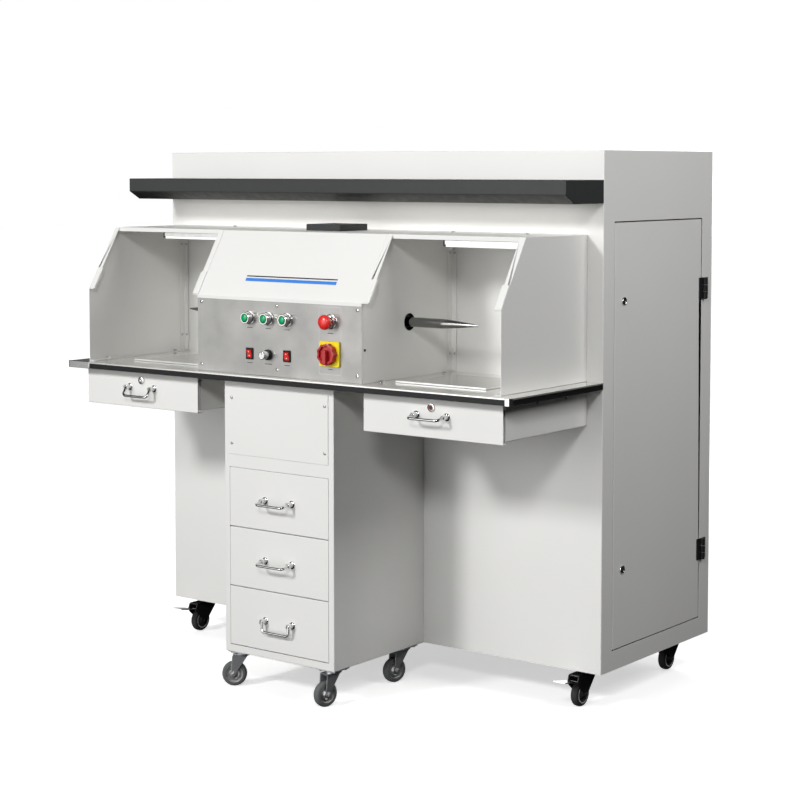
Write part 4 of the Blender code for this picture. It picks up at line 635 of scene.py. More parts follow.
def hex_bolt(bm, place, radius):
    """A hexagon head with a chamfered crown on a round flange."""
    height = radius * 0.75
    flange = radius * 1.35
    lip = radius * 0.18
    lathe(bm, [(0, 0), (flange, 0), (flange, lip * 0.6), (flange * 0.9, lip), (0, lip)], place, 24)
    part = bmesh.new()
    bmesh.ops.create_cone(
        part, cap_ends=True, segments=6, radius1=radius, radius2=radius, depth=height,
        matrix=Matrix.Translation((0, 0, lip + height / 2)),
    )
    top = [item for item in part.edges if all(vert.co.z > lip + height * 0.9 for vert in item.verts)]
    rounded(part, top, radius * 0.14, 1)
    absorb(bm, part, place)


# Pieces

def width_of(face):
    """A face's width across its longest edge."""
    return face.calc_area() / max(edge.calc_length() for edge in face.edges)


def borders_flat(edge):
    """Whether an edge lies between a broad flat face and a narrow face of its rounding."""
    widths = sorted(width_of(face) for face in edge.link_faces)
    return len(widths) == 2 and widths[0] < NARROW and widths[1] > BROAD


def piece(name, bm, look, body, *stands_for):
    """Makes a finished piece that rides on a body and may stand for solids."""
    for face in bm.faces:
        face.smooth = True
    for edge in bm.edges:
        edge.smooth = edge.calc_face_angle(0) < SHARP and not borders_flat(edge)
    mesh = bpy.data.meshes.new(name)
    bm.to_mesh(mesh)
    bm.free()
    mesh.materials.append(finish(look))
    obj = bpy.data.objects.new(name, mesh)
    bpy.context.scene.collection.objects.link(obj)
    even = obj.modifiers.new("even_shading", "WEIGHTED_NORMAL")
    even.keep_sharp = True
    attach(obj, body)
    if stands_for:
        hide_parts(*stands_for)
    return obj


def sheet_edges(bm):
    """The folds of a sheet solid and the rims of its cut edges, as two lists of outward edges."""
    folds, rims = [], []
    for edge in bm.edges:
        if len(edge.link_faces) != 2 or not edge.is_convex or edge.calc_length() < SHORT:
            continue
        if edge.calc_face_angle() < FOLDED:
            continue
        narrow = min(map(width_of, edge.link_faces)) < NARROW
        (rims if narrow else folds).append(edge)
    return folds, rims


def solid_of(node):
    """A copy of a solid's mesh."""
    bm = bmesh.new()
    bm.from_mesh(frame["nodes"][node].data)
    return bm


def walls_of(node):
    """A solid's walls, to find places on them with a ray."""
    solid = solid_of(node)
    walls = BVHTree.FromBMesh(solid)
    solid.free()
    return walls


def softened(name, node, look, body=BENCH, fold=None, rim=True):
    """A solid's shape with rounded folds and eased rims, as bent and deburred sheet has."""
    bm = solid_of(node)
    bmesh.ops.remove_doubles(bm, verts=bm.verts, dist=MERGE)
    bmesh.ops.dissolve_limit(bm, angle_limit=FLAT, verts=bm.verts, edges=bm.edges)
    folds, rims = sheet_edges(bm)
    rounded(bm, folds, fold or sheet().fold, 3, clamp=False)
    if rim:
        rims = [edge for edge in rims if edge.is_valid and edge.calc_length() > SHORT]
        rounded(bm, rims, sheet().rim, 1, clamp=False)
    return piece(name, bm, look, body, node)


# Places on the bench

SIDE_X = -CABINET_LOW.x             # the cabinet's side
CABINET_FRONT_Y = LAMP_HIGH.y       # the cabinet's front
BOX_HALF = BOX_HIGH.x               # half of the control box's width
PANEL_THICK = 0.0015
PANEL_FACE_Y = PANEL_HIGH.y - PANEL_THICK
HINGE_X, HINGE_Y, _ = JOINTS["side_door_hinge"]["pos_m"]
HINGE_INSET = 0.1835                # from the door's ends to the middle of a hinge
HINGE_HEIGHT = 0.056
HINGE_LEAF = 0.023
HINGE_LEAF_THICK = 0.0025
HINGE_BARREL = 0.006
HINGE_EDGE = 0.0012                 # rounding of a leaf
KNUCKLE_EDGE = 0.0007               # chamfer at a knuckle's ends
KNUCKLE_LAP = 0.002                 # a knuckle's foot over its leaf
SLOPE_DEPTH = 0.2747                # cabinet's front to the top of the sloping cover
SLOPE_RISE = 0.1967                 # worktop to the foot of the sloping cover
SLOPE_TOP = Vector((0, CABINET_FRONT_Y - SLOPE_DEPTH, HOOD_HIGH.z))
SLOPE_FOOT = Vector((0, FRONT_Y, HOOD_LOW.z + SLOPE_RISE))


def middle_of(node):
    """The middle of a solid's box."""
    low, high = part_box(node)
    return (low + high) / 2


# Cabinet

def hinge_leaf(bm, z, on_door):
    """One leaf of a hinge with its knuckles, over the solid's own."""
    half = HINGE_HEIGHT / 2 + EASE
    inner = HINGE_HEIGHT / 3 / 2
    side = -1 if on_door else 1
    spans = [(-half, -inner), (inner, half)] if on_door else [(-inner + EASE, inner - EASE)]
    radius, edge = HINGE_BARREL + EASE, KNUCKLE_EDGE

    def strip(near, far, low, high):
        """A flat of the leaf between two distances from the pin."""
        ends = sorted((HINGE_Y + side * near, HINGE_Y + side * far))
        slab(bm, (SIDE_X - EASE, ends[0], z + low),
             (SIDE_X + HINGE_LEAF_THICK + EASE, ends[1], z + high), HINGE_EDGE)

    strip(HINGE_BARREL + EASE / 2, HINGE_LEAF + EASE, -half, half)
    for low, high in spans:
        strip(HINGE_BARREL / 2, HINGE_BARREL + KNUCKLE_LAP, low, high)
        profile = [(0, low), (radius - edge, low), (radius, low + edge), (radius, high - edge),
                   (radius - edge, high), (0, high)]
        lathe(bm, profile, seat((HINGE_X, HINGE_Y, z)), 24)


def hinge_heights():
    """Heights of the door's two hinges."""
    return DOOR_LOW.z + HINGE_INSET, DOOR_HIGH.z - HINGE_INSET


class BENCH_OT_cabinet(Operator):
    """Add the cabinet's shell, floor, rear cover and its halves of the hinges"""
    bl_idname = "bench.cabinet"
    bl_label = "Cabinet"

    def execute(self, context):
        softened("cabinet_shell", "cabinet_body", "powder_coat")
        softened("cabinet_floor", "cabinet_base", "powder_coat", fold=0.001)
        softened("rear_cover", "rear_panel", "powder_coat", fold=0.001)
        bm = bmesh.new()
        for z in hinge_heights():
            hinge_leaf(bm, z, on_door=False)
        piece("hinge_frame_leaves", bm, "satin_black", BENCH)
        bm = bmesh.new()
        low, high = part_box("rear_panel")
        inset = 0.012
        for x in (low.x + inset, 0, high.x - inset):
            for z in (low.z + inset, high.z - inset):
                screw_head(bm, seat((x, high.y, z), "rear"), fittings().screw)
        piece("rear_cover_screws", bm, "zinc_plate", BENCH)
        return {"FINISHED"}


# Locks

LOCK_DEPTH = 0.030                  # from a lock's seat to the back of its cam
KEY_PLUG = 0.0028                   # radius of the opening for a key plug
CAM_HALF = 0.006                    # half of a cam's width
CAM_THICK = 0.002
DOOR_CAM_REACH = 0.055
DRAWER_CAM_REACH = 0.024


def cam_lock(node, place, facing, cam, ring="polished_steel", bore=KEY_PLUG):
    """A cam lock: barrel, turned flange, key plug with its slot, and a cam between two corners."""
    flange, barrel = 0.0105, 0.0079
    bm = bmesh.new()
    lathe(bm, [(0, -LOCK_DEPTH), (barrel, -LOCK_DEPTH), (barrel, EASE), (flange, EASE), (flange, 0.0020),
               (flange - 0.0008, 0.0031), (0.0074, 0.0035), (0.0068, 0.0030), (0.0068, 0.0024),
               (0, 0.0024)], seat(place, facing), 40)
    slab(bm, *cam, 0.0004)
    piece(node + "_body", bm, "polished_steel", node, node)
    bm = bmesh.new()
    lathe(bm, [(bore, 0.0022), (0.0064, 0.0022), (0.0064, 0.0033), (0.0058, 0.0037),
               (bore + 0.0006, 0.0037), (bore, 0.0033), (bore, 0.0022)], seat(place, facing), 40)
    piece(node + "_ring", bm, ring, node)
    bm = bmesh.new()
    plug = bore - 0.0001
    lathe(bm, [(0, 0.0020), (plug, 0.0020), (plug, 0.0032), (0, 0.0032)], seat(place, facing), 24)
    slab(bm, (-0.0006, -0.0024, 0.0030), (0.0006, 0.0024, 0.00335), place=seat(place, facing))
    piece(node + "_keyway", bm, "dark_print", node)


class BENCH_OT_side_door(Operator):
    """Add the side door with its leaves of the hinges and its two locks"""
    bl_idname = "bench.side_door"
    bl_label = "Side Door"

    def execute(self, context):
        softened("door_skin", "side_door", "powder_coat", "side_door")
        bm = bmesh.new()
        for z in hinge_heights():
            hinge_leaf(bm, z, on_door=True)
        piece("hinge_door_leaves", bm, "satin_black", "side_door")
        back = SIDE_X - LOCK_DEPTH
        for name in ("lower_door_lock", "upper_door_lock"):
            _, y, z = JOINTS[name + "_turn"]["pos_m"]
            cam = ((back, y - CAM_HALF, z - DOOR_CAM_REACH), (back + CAM_THICK, y + CAM_HALF, z))
            cam_lock(name, (SIDE_X, y, z), "right", cam)
        return {"FINISHED"}


# Filters and fan

def cartridge(bm, place, radius, length, pleats):
    """Pleated paper of a cartridge: a ring whose points lie alternately out and in."""
    part = bmesh.new()
    bmesh.ops.create_circle(part, cap_ends=False, segments=2 * pleats, radius=radius)
    part.verts.ensure_lookup_table()
    folded = sorted(part.verts, key=lambda vert: atan2(vert.co.y, vert.co.x))[::2]
    bmesh.ops.scale(part, verts=folded, vec=(0.86, 0.86, 1))
    raise_edges(part, -length)
    absorb(bm, part, place)


class BENCH_OT_filters(Operator):
    """Add the filter deck with its pleated cartridges, and the fan above it"""
    bl_idname = "bench.filters"
    bl_label = "Filters and Fan"

    def execute(self, context):
        low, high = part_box("filter_bank")
        pitch, radius, cap = 0.400, 0.128, 0.018
        rim, throat, opening = radius + 0.002, 0.095, 0.067
        middle_y = (low.y + high.y) / 2
        deck = 0.003
        top = high.z - deck - EASE
        paper, caps, deck_sheet = bmesh.new(), bmesh.new(), bmesh.new()
        openings = []
        for step in (-1, 0, 1):
            place = seat((step * pitch, middle_y, 0))
            cartridge(paper, place @ Matrix.Translation((0, 0, high.z - deck - cap)), radius,
                      high.z - low.z - deck - 2 * cap, fittings().pleats)
            lathe(caps, [(0, low.z), (radius, low.z), (rim, low.z + 0.004), (rim, low.z + cap),
                         (0, low.z + cap)], place, 64)
            lathe(caps, [(throat, top - cap), (rim, top - cap), (rim, top), (throat, top),
                         (throat, top - cap)], place, 64)
            openings.append(((step * pitch - opening, middle_y - opening),
                             (step * pitch + opening, middle_y + opening)))
        windowed(deck_sheet, low.xy, high.xy, deck, openings, seat((0, 0, high.z - deck)))
        piece("filter_cartridges", paper, "filter_paper", BENCH, "filter_bank")
        piece("filter_caps", caps, "satin_black", BENCH)
        piece("filter_deck", deck_sheet, "zinc_plate", BENCH)
        softened("blower_shell", "blower_housing", "motor_paint", fold=0.0012, rim=False)
        softened("fan_wheel", "blower_impeller", "zinc_plate", "blower_impeller", fold=0.0006, rim=False)
        return {"FINISHED"}


# Lamp bar

class BENCH_OT_lamp_bar(Operator):
    """Add the lamp bar with its frosted light strip"""
    bl_idname = "bench.lamp_bar"
    bl_label = "Lamp Bar"

    def execute(self, context):
        softened("lamp_housing", "lamp_bar", "lamp_coat", fold=0.0016)
        margin, chamfer, recess = 0.016, 0.038, 0.006
        bm = bmesh.new()
        low = (LAMP_LOW.x + margin, LAMP_LOW.y + chamfer + margin, LAMP_LOW.z + recess)
        high = (LAMP_HIGH.x - margin, LAMP_HIGH.y - margin, LAMP_LOW.z + recess + 0.003)
        slab(bm, low, high, 0.0008)
        piece("lamp_diffuser", bm, "lamp_cover", BENCH)
        return {"FINISHED"}


# Worktop

GRATE_WIDTH = 0.270
GRATE_DEPTH = 0.240
GRATE_FRONT_Y = CABINET_FRONT_Y - 0.298
GRATE_OFFSET = 0.026                # from the hood's middle towards the control box
GRATE_RIM = 0.017
BAND = 0.003                        # thickness of the worktop's edge band
CORNER_FOLD = 0.006                 # bend at the worktop's corners
CAP_LENGTHS = {"left": 0.082, "right": 0.015}
CAP_RETURN = 0.011


def grate_middle(side):
    """Sideways place of a hood's grate."""
    return side * ((BOX_HALF + HOOD_HIGH.x) / 2 - GRATE_OFFSET)


def perforated(bm, low, high, thickness):
    """A field of round holes: one square cell bridged to a hole, repeated along rows and columns."""
    pitch = sheet().hole_pitch
    columns, rows = (int((high[axis] - low[axis]) / pitch) for axis in (0, 1))
    steps = ((high[0] - low[0]) / columns, (high[1] - low[1]) / rows)
    part = bmesh.new()
    bmesh.ops.create_circle(part, segments=8, radius=sheet().hole)
    hole = list(part.edges)
    bmesh.ops.create_circle(part, segments=8, radius=0.5)
    square = [edge for edge in part.edges if edge not in hole]
    for vert in {vert for edge in square for vert in edge.verts}:
        vert.co.x = 0 if abs(vert.co.x) < 0.1 else steps[0] / 2 * (1 if vert.co.x > 0 else -1)
        vert.co.y = 0 if abs(vert.co.y) < 0.1 else steps[1] / 2 * (1 if vert.co.y > 0 else -1)
    bmesh.ops.bridge_loops(part, edges=hole + square)
    for axis, count in ((0, columns), (1, rows)):
        cell = everything(part)
        for index in range(1, count):
            copy = bmesh.ops.duplicate(part, geom=cell)["geom"]
            shift = Vector((index * steps[0], 0, 0)) if axis == 0 else Vector((0, index * steps[1], 0))
            bmesh.ops.translate(part, verts=points_of(copy), vec=shift)
    bmesh.ops.remove_doubles(part, verts=part.verts, dist=MERGE)
    raise_faces(part, thickness)
    corner = Matrix.Translation((low[0] + steps[0] / 2, low[1] + steps[1] / 2, low[2]))
    absorb(bm, part, corner)


class BENCH_OT_worktop(Operator):
    """Add the stainless worktop, its edge band, corner caps and air grates"""
    bl_idname = "bench.worktop"
    bl_label = "Worktop"

    def execute(self, context):
        half, front, back, top = WORKTOP_HIGH.x, WORKTOP_LOW.y, WORKTOP_HIGH.y, WORKTOP_HIGH.z
        thick = sheet().thickness
        windows = []
        for side in SIDES.values():
            x, rim = grate_middle(side), GRATE_RIM + 0.003
            windows.append(((x - GRATE_WIDTH / 2 + rim, GRATE_FRONT_Y + rim),
                            (x + GRATE_WIDTH / 2 - rim, GRATE_FRONT_Y + GRATE_DEPTH - rim)))
        bm = bmesh.new()
        inset = 0.0008
        windowed(bm, (-half + inset, front + inset), (half - inset, back), thick, windows,
                 seat((0, 0, top - thick)), FINE_EDGE)
        path = [(-half, back), (-half, front), (half, front), (half, back)]
        lip, lip_thick = 0.0032, 0.0012
        bent_sheet(bm, path, lip_thick, lip, seat((0, 0, top - lip)), CORNER_FOLD)
        piece("worktop_sheet", bm, "top_stainless", BENCH, "worktop")
        # Edge band round the worktop: its near-black is painted dark reflection of a polished edge
        bm = bmesh.new()
        shrink = 0.0005
        path = [(-half + shrink, back), (-half + shrink, front + shrink), (half - shrink, front + shrink),
                (half - shrink, back)]
        bent_sheet(bm, path, BAND, top - lip - WORKTOP_LOW.z, seat((0, 0, WORKTOP_LOW.z)), CORNER_FOLD,
                   0.0008)
        piece("worktop_band", bm, "edge_band", BENCH)
        self.add_corner_caps(half, front, top)
        self.add_grates(top)
        return {"FINISHED"}

    def add_corner_caps(self, half, front, top):
        """Polished caps that wrap the two front corners."""
        bm = bmesh.new()
        thick, proud, edge = 0.0025, 0.0009, 0.0008
        for name, side in SIDES.items():
            reach = CAP_LENGTHS[name]
            path = [(side * (half - reach), front - proud), (side * (half + proud), front - proud),
                    (side * (half + proud), front + CAP_RETURN)]
            if side < 0:
                path.reverse()
            bent_sheet(bm, path, thick, top + proud - WORKTOP_LOW.z + proud,
                       seat((0, 0, WORKTOP_LOW.z - proud)), CORNER_FOLD, edge)
        piece("worktop_corner_caps", bm, "polished_steel", BENCH)

    def add_grates(self, top):
        """Perforated plates with a plain rim and a folded front lip."""
        thick, overlap = 0.0014, 0.0006
        lip_thick, lip_height, lip_gap = 0.0022, 0.0046, 0.0001
        rim = GRATE_RIM - overlap
        for name, side in SIDES.items():
            bm = bmesh.new()
            x = grate_middle(side)
            low = (x - GRATE_WIDTH / 2, GRATE_FRONT_Y, top + EASE)
            high = (x + GRATE_WIDTH / 2, GRATE_FRONT_Y + GRATE_DEPTH, top + EASE + thick)
            start = (low[0] + rim, low[1] + rim, low[2])
            perforated(bm, start, (high[0] - rim, high[1] - rim), thick - 0.0001)
            window = ((low[0] + GRATE_RIM, low[1] + GRATE_RIM), (high[0] - GRATE_RIM, high[1] - GRATE_RIM))
            windowed(bm, low, high, thick, [window], seat((0, 0, low[2])), FINE_EDGE)
            piece(name + "_grate", bm, "top_stainless", BENCH)
            bm = bmesh.new()
            slab(bm, (low[0], low[1] - lip_thick, low[2]),
                 (high[0], low[1] - lip_gap, low[2] + lip_height), 0.0008)
            piece(name + "_grate_lip", bm, "hub_silver", BENCH)


# Hoods

LIGHT_LENGTH = 0.218
LIGHT_STARTS = {"left": 0.186, "right": 0.171}      # from a hood's left wall
LIGHT_HEIGHT = 0.015
LIGHT_DEPTH = 0.020
TOP_BAND = 0.011
FOOT_BOLTS = (0.061, 0.326)         # behind the hoods' front
OUTER_BOLTS = 0.0105                # from a hood's outer side
INNER_BOLTS = 0.013                 # from the control box
ANGLE_SCREWS = (1.132, 0.871)       # heights on the rear angles
ANGLE_SIDE = 0.018                  # rear angle's leg on the wall
ANGLE_REAR = 0.0145                 # rear angle's leg on the cabinet
TOP_BOLTS = ((-0.410, 0.080), (0.340, 0.090), (0.565, 0.095))      # place and setback
UNDER_BOLTS = (0.250, 0.125)        # before the cabinet, under the worktop's end
ANGLE_GAP = 0.006                   # above and below a rear angle


class BENCH_OT_hoods(Operator):
    """Add both hoods with their light strips, bolts and screws"""
    bl_idname = "bench.hoods"
    bl_label = "Hoods"

    def execute(self, context):
        bolts, screws, angles = bmesh.new(), bmesh.new(), bmesh.new()
        for name, side in SIDES.items():
            hood = name + "_hood"
            softened(hood + "_sheet", hood, "powder_coat", fold=0.0016)
            low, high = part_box(hood)
            self.add_light(name, low, high)
            outer_x = side * (HOOD_HIGH.x - OUTER_BOLTS)
            inner_x = side * (BOX_HALF + INNER_BOLTS)
            for x in (outer_x, inner_x):
                foot = sheet().thickness + EASE if x == outer_x else 0
                for setback in FOOT_BOLTS:
                    hex_bolt(bolts, seat((x, FRONT_Y + setback, WORKTOP_HIGH.z + foot)), fittings().bolt)
            self.add_angles(angles, screws, side, high.z)
        for x, setback in TOP_BOLTS:
            hex_bolt(bolts, seat((x, CABINET_FRONT_Y - setback, HOOD_HIGH.z)), fittings().bolt * 0.9)
        for setback in UNDER_BOLTS:
            place = (HOOD_HIGH.x + 0.012, CABINET_FRONT_Y - setback, WORKTOP_HIGH.z - 0.0155)
            hex_bolt(bolts, seat(place, "down"), fittings().bolt)
        piece("hood_bolts", bolts, "polished_steel", BENCH)
        piece("rear_angles", angles, "powder_coat", BENCH)
        piece("rear_angle_screws", screws, "zinc_plate", BENCH)
        return {"FINISHED"}

    def add_angles(self, angles, screws, side, top):
        """Folded angles in a hood's rear corners, screwed to its walls and to the cabinet."""
        thick = 0.0012
        rear_screw, side_screw = 0.0095, 0.0115
        head = fittings().screw * 0.8
        back = CABINET_FRONT_Y - sheet().thickness - 2 * EASE
        for wall, inward in ((BOX_HALF + 2 * EASE, 1), (HOOD_HIGH.x - sheet().thickness - EASE, -1)):
            x = side * wall
            into = side * inward
            path = [(x, back - ANGLE_SIDE), (x, back), (x + into * ANGLE_REAR, back)]
            if into > 0:
                path.reverse()
            foot = WORKTOP_HIGH.z + ANGLE_GAP
            bent_sheet(angles, path, thick, top - ANGLE_GAP - foot, seat((0, 0, foot)), 0.002)
            facing = "right" if into > 0 else "left"
            for z in ANGLE_SCREWS:
                screw_head(screws, seat((x + into * rear_screw, back - thick, z), "front"), head)
                screw_head(screws, seat((x + into * thick, back - side_screw, z), facing), head)

    def add_light(self, name, low, high):
        """A light strip under the front edge of a hood's top: a bright channel and a frosted cover."""
        left = low.x + LIGHT_STARTS[name]
        front = SLOPE_TOP.y + 0.0025
        top = high.z - TOP_BAND - EASE
        bm = bmesh.new()
        start = (left, front, top - LIGHT_HEIGHT)
        end = (left + LIGHT_LENGTH, front + LIGHT_DEPTH, top)
        slab(bm, (start[0], start[1] + 0.0012, start[2] + 0.004), end, 0.0006)
        piece(name + "_light_channel", bm, "hub_silver", BENCH)
        bm = bmesh.new()
        slab(bm, (left + 0.003, front, top - LIGHT_HEIGHT - 0.0015),
             (end[0] - 0.003, front + LIGHT_DEPTH - 0.002, top - LIGHT_HEIGHT + 0.0045), 0.0022, 3)
        piece(name + "_light_cover", bm, "strip_cover", BENCH)
        # Black end cap at the strip's left end; its black is partly painted shade at that end
        bm = bmesh.new()
        slab(bm, (left - 0.006, front + 0.002, top - LIGHT_HEIGHT),
             (left - 0.0002, front + LIGHT_DEPTH, top), 0.001)
        piece(name + "_light_end", bm, "satin_black", BENCH)


# Control box

VENT_SIZE = 0.112
VENT_SLOTS = 6
VENT_SLOT_WIDTH = 0.0076
VENT_RIM = 0.0138
VENT_SETBACK = 0.183                # front of the control box to the vent
SPINDLE_HOLE = 0.022
BOX_SCREWS = (0.010, 0.082)         # behind the front, and above the worktop


def slope_seat(up, out=0.0):
    """A seat on the sloping cover, some way up from its foot."""
    run = (SLOPE_TOP - SLOPE_FOOT).normalized()
    outward = Vector((0, -run.z, run.y))
    turn = Matrix((
        (1, 0, 0, 0), (0, run.y, outward.y, 0), (0, run.z, outward.z, 0), (0, 0, 0, 1),
    ))
    return Matrix.Translation(SLOPE_FOOT + run * up + outward * out) @ turn


class BENCH_OT_control_box(Operator):
    """Add the control box with its vent, spindle grommets and printed stripes"""
    bl_idname = "bench.control_box"
    bl_label = "Control Box"

    def execute(self, context):
        softened("control_cover", "control_box", "powder_coat", fold=0.0016)
        softened("motor_pair", "spindle_motors", "motor_paint", fold=0.002, rim=False)
        self.add_vent()
        bm = bmesh.new()
        _, y, z = JOINTS["right_spindle_spin"]["pos_m"]
        inner, outer, proud = SPINDLE_HOLE - 0.0014, SPINDLE_HOLE - 0.0003, 0.0006
        for name, side in SIDES.items():
            ring = [(inner, -0.003), (inner, proud - 0.0003), (inner + 0.0003, proud),
                    (outer - 0.0003, proud), (outer, proud - 0.0003), (outer, -0.003), (inner, -0.003)]
            lathe(bm, ring, seat((side * BOX_HALF, y, z), name), 48)
        piece("spindle_grommets", bm, "edge_band", BENCH)
        bm = bmesh.new()
        for name, side in SIDES.items():
            place = (side * BOX_HALF, FRONT_Y + BOX_SCREWS[0], HOOD_LOW.z + BOX_SCREWS[1])
            screw_head(bm, seat(place, name), fittings().screw * 0.85)
        piece("control_box_screws", bm, "satin_black", BENCH)
        bm = bmesh.new()
        lap = 0.0037
        slab(bm, (-BOX_HALF, PANEL_FACE_Y - 0.0014, PANEL_HIGH.z - lap),
             (BOX_HALF, FRONT_Y + 0.0006, SLOPE_FOOT.z + 0.0012), 0.0006)
        piece("cover_lip", bm, "powder_coat", BENCH)
        self.add_stripes()
        return {"FINISHED"}

    def add_vent(self):
        """Black slotted cover over the vent on top of the box."""
        bm = bmesh.new()
        half = VENT_SIZE / 2 + EASE
        y = FRONT_Y + VENT_SETBACK
        low, high = (-half, y - EASE), (half, y + VENT_SIZE + EASE)
        field = VENT_SIZE - 2 * VENT_RIM
        pitch = field / VENT_SLOTS
        slots = []
        for index in range(VENT_SLOTS):
            middle = y + VENT_RIM + (index + 0.5) * pitch
            slots.append(((-field / 2, middle - VENT_SLOT_WIDTH / 2),
                          (field / 2, middle + VENT_SLOT_WIDTH / 2)))
        lid = 0.002
        windowed(bm, low, high, lid, slots, seat((0, 0, BOX_HIGH.z + EASE)), 0.0005)
        path = [(low[0], low[1]), (low[0], high[1]), (high[0], high[1]), (high[0], low[1]), (low[0], low[1])]
        half_wall = 0.0002
        for ends in zip(path, path[1:]):
            first, second = sorted(ends)
            slab(bm, (first[0] - half_wall, first[1] - half_wall, HOOD_HIGH.z + EASE),
                 (second[0] + half_wall, second[1] + half_wall, BOX_HIGH.z + EASE))
        piece("vent_cover", bm, "satin_black", BENCH)

    def add_stripes(self):
        """Two plain straight stripes printed across the sloping cover."""
        wide, thin, length, ink = fittings().stripe, 0.0035, 0.300, 0.00012
        rise, shift = 0.052, 0.02
        for name, look, height, width in (
            ("blue_stripe", "blue_print", rise, wide),
            ("dark_stripe", "dark_print", rise + wide / 2 + thin * 1.6, thin),
        ):
            bm = bmesh.new()
            plate(bm, rectangle(length, width, (shift, 0)), ink, slope_seat(height, 0.00005))
            piece(name, bm, look, BENCH)


# Control panel

OUTLINE_X = (0.137, 0.208)
OUTLINE_Z = (0.0162, 0.1842)        # above the panel's lower edge
PANEL_SCREWS_X = (-0.259, 0.0, 0.259)
PANEL_SCREWS_LOW = 0.0178           # above the panel's lower edge
PANEL_SCREWS_HIGH = 0.0130          # below its upper edge
BUTTON_HOLE = 0.0106                # half of a hole's width, as the next ones
KNOB_HOLE = 0.0034
STOP_HOLE = 0.0110
ISOLATOR_HOLE = 0.0066
SWITCH_HOLE = (0.0080, 0.0112)      # half of its width and height
LABEL_WIDTH = 0.018
LABEL_HEIGHT = 0.0016
INK = 0.0001                        # thickness of printed and scribed marks
BUTTONS = ("left_motor_button", "fan_button", "right_motor_button")
SWITCHES = ("left_lamp_switch", "right_lamp_switch")


def on_panel(x, z):
    """A seat on the control panel's face."""
    return seat((x, PANEL_FACE_Y, z), "front")


def label(bm, x, z, drop, width=LABEL_WIDTH):
    """A plain bar below a control."""
    plate(bm, rectangle(width, LABEL_HEIGHT, (0, -drop)), INK, on_panel(x, z))


def control_places():
    """Sideways place and height of each control, with half the size of its hole in the panel."""
    places = {}
    for node in BUTTONS:
        places[node] = (middle_of(node).x, middle_of(node).z, BUTTON_HOLE, BUTTON_HOLE)
    for node in SWITCHES:
        x, _, z = JOINTS[node + "_rock"]["pos_m"]
        places[node] = (x, z, *SWITCH_HOLE)
    x, _, z = JOINTS["speed_knob_turn"]["pos_m"]
    places["speed_knob"] = (x, z, KNOB_HOLE, KNOB_HOLE)
    middle = middle_of("emergency_stop")
    places["emergency_stop"] = (middle.x, middle.z, STOP_HOLE, STOP_HOLE)
    x, _, z = JOINTS["isolator_turn"]["pos_m"]
    places["isolator_handle"] = (x, z, ISOLATOR_HOLE, ISOLATOR_HOLE)
    return places


class BENCH_OT_control_panel(Operator):
    """Add the stainless panel with bezels, frames, plate, screws and plain label bars"""
    bl_idname = "bench.control_panel"
    bl_label = "Control Panel"

    def execute(self, context):
        places = control_places()
        windows = [((x - a, z - b), (x + a, z + b)) for x, z, a, b in places.values()]
        bm = bmesh.new()
        windowed(bm, (-BOX_HALF, PANEL_LOW.z), (BOX_HALF, PANEL_HIGH.z), sheet().thickness, windows,
                 seat((0, PANEL_HIGH.y, 0), "front"), FINE_EDGE)
        piece("panel_plate", bm, "panel_stainless", BENCH, "control_panel")
        self.add_trims(places)
        bm = bmesh.new()
        for x in PANEL_SCREWS_X:
            for z in (PANEL_LOW.z + PANEL_SCREWS_LOW, PANEL_HIGH.z - PANEL_SCREWS_HIGH):
                screw_head(bm, on_panel(x, z), fittings().screw)
        piece("panel_screws", bm, "polished_steel", BENCH)
        return {"FINISHED"}

    def add_trims(self, places):
        """Bezels, collar, switch frames, isolator plate, engraved outline, labels and dial ticks."""
        bezels, frames, marks = bmesh.new(), bmesh.new(), bmesh.new()
        for node in BUTTONS:
            x, z, hole, _ = places[node]
            ring = [(hole, -0.001), (hole, 0.0200), (hole + 0.0006, 0.0210), (0.0138, 0.0210),
                    (0.0150, 0.0200), (0.0150, 0.0105), (0.0143, 0.0100), (0.0143, 0.0036),
                    (0.0172, 0.0030), (0.0172, EASE), (hole, EASE)]
            lathe(bezels, ring, on_panel(x, z), 48)
            label(marks, x, z, 0.0255)
        x, z, hole, _ = places["emergency_stop"]
        collar = [(hole, EASE), (hole, 0.0195), (0.0125, 0.0195), (0.0132, 0.0110), (0.0162, 0.0100),
                  (0.0166, 0.0090), (0.0166, 0.0020), (0.0185, 0.0014), (0.0185, EASE), (hole, EASE)]
        lathe(bezels, collar, on_panel(x, z), 40)
        label(marks, x, z, 0.0290)
        rim = 0.0036
        for node in SWITCHES:
            x, z, half_width, half_height = places[node]
            outer = rectangle(2 * (half_width + rim), 2 * (half_height + rim))
            frame_strip(frames, outer, rim, 0.0030, on_panel(x, z), 0.0016)
            label(marks, x, z, 0.0235)
        x, z, _, _ = places["speed_knob"]
        label(marks, x, z, 0.0235, 0.024)
        for angle in range(150, -151, -30):
            turn = Matrix.Rotation(radians(angle), 4, "Z")
            plate(marks, rectangle(0.0006, 0.0022, (0, 0.0172)), INK, on_panel(x, z) @ turn)
        outline = [(OUTLINE_X[0], OUTLINE_Z[0]), (OUTLINE_X[1], OUTLINE_Z[0]),
                   (OUTLINE_X[1], OUTLINE_Z[1]), (OUTLINE_X[0], OUTLINE_Z[1])]
        scribed = bmesh.new()
        frame_strip(scribed, outline, 0.0008, INK, on_panel(0, PANEL_LOW.z), 0.005)
        x, z, _, _ = places["isolator_handle"]
        bm = bmesh.new()
        plate(bm, rectangle(0.063, 0.063), 0.0060, on_panel(x, z), 0.0035, 0.0009)
        piece("isolator_plate", bm, "yellow_moulding", BENCH)
        label(marks, x, z, 0.0385, 0.013)
        piece("control_bezels", bezels, "polished_steel", BENCH)
        piece("switch_frames", frames, "edge_band", BENCH)
        piece("panel_marks", marks, "dark_print", BENCH)
        piece("panel_outline", scribed, "zinc_plate", BENCH)


# Controls

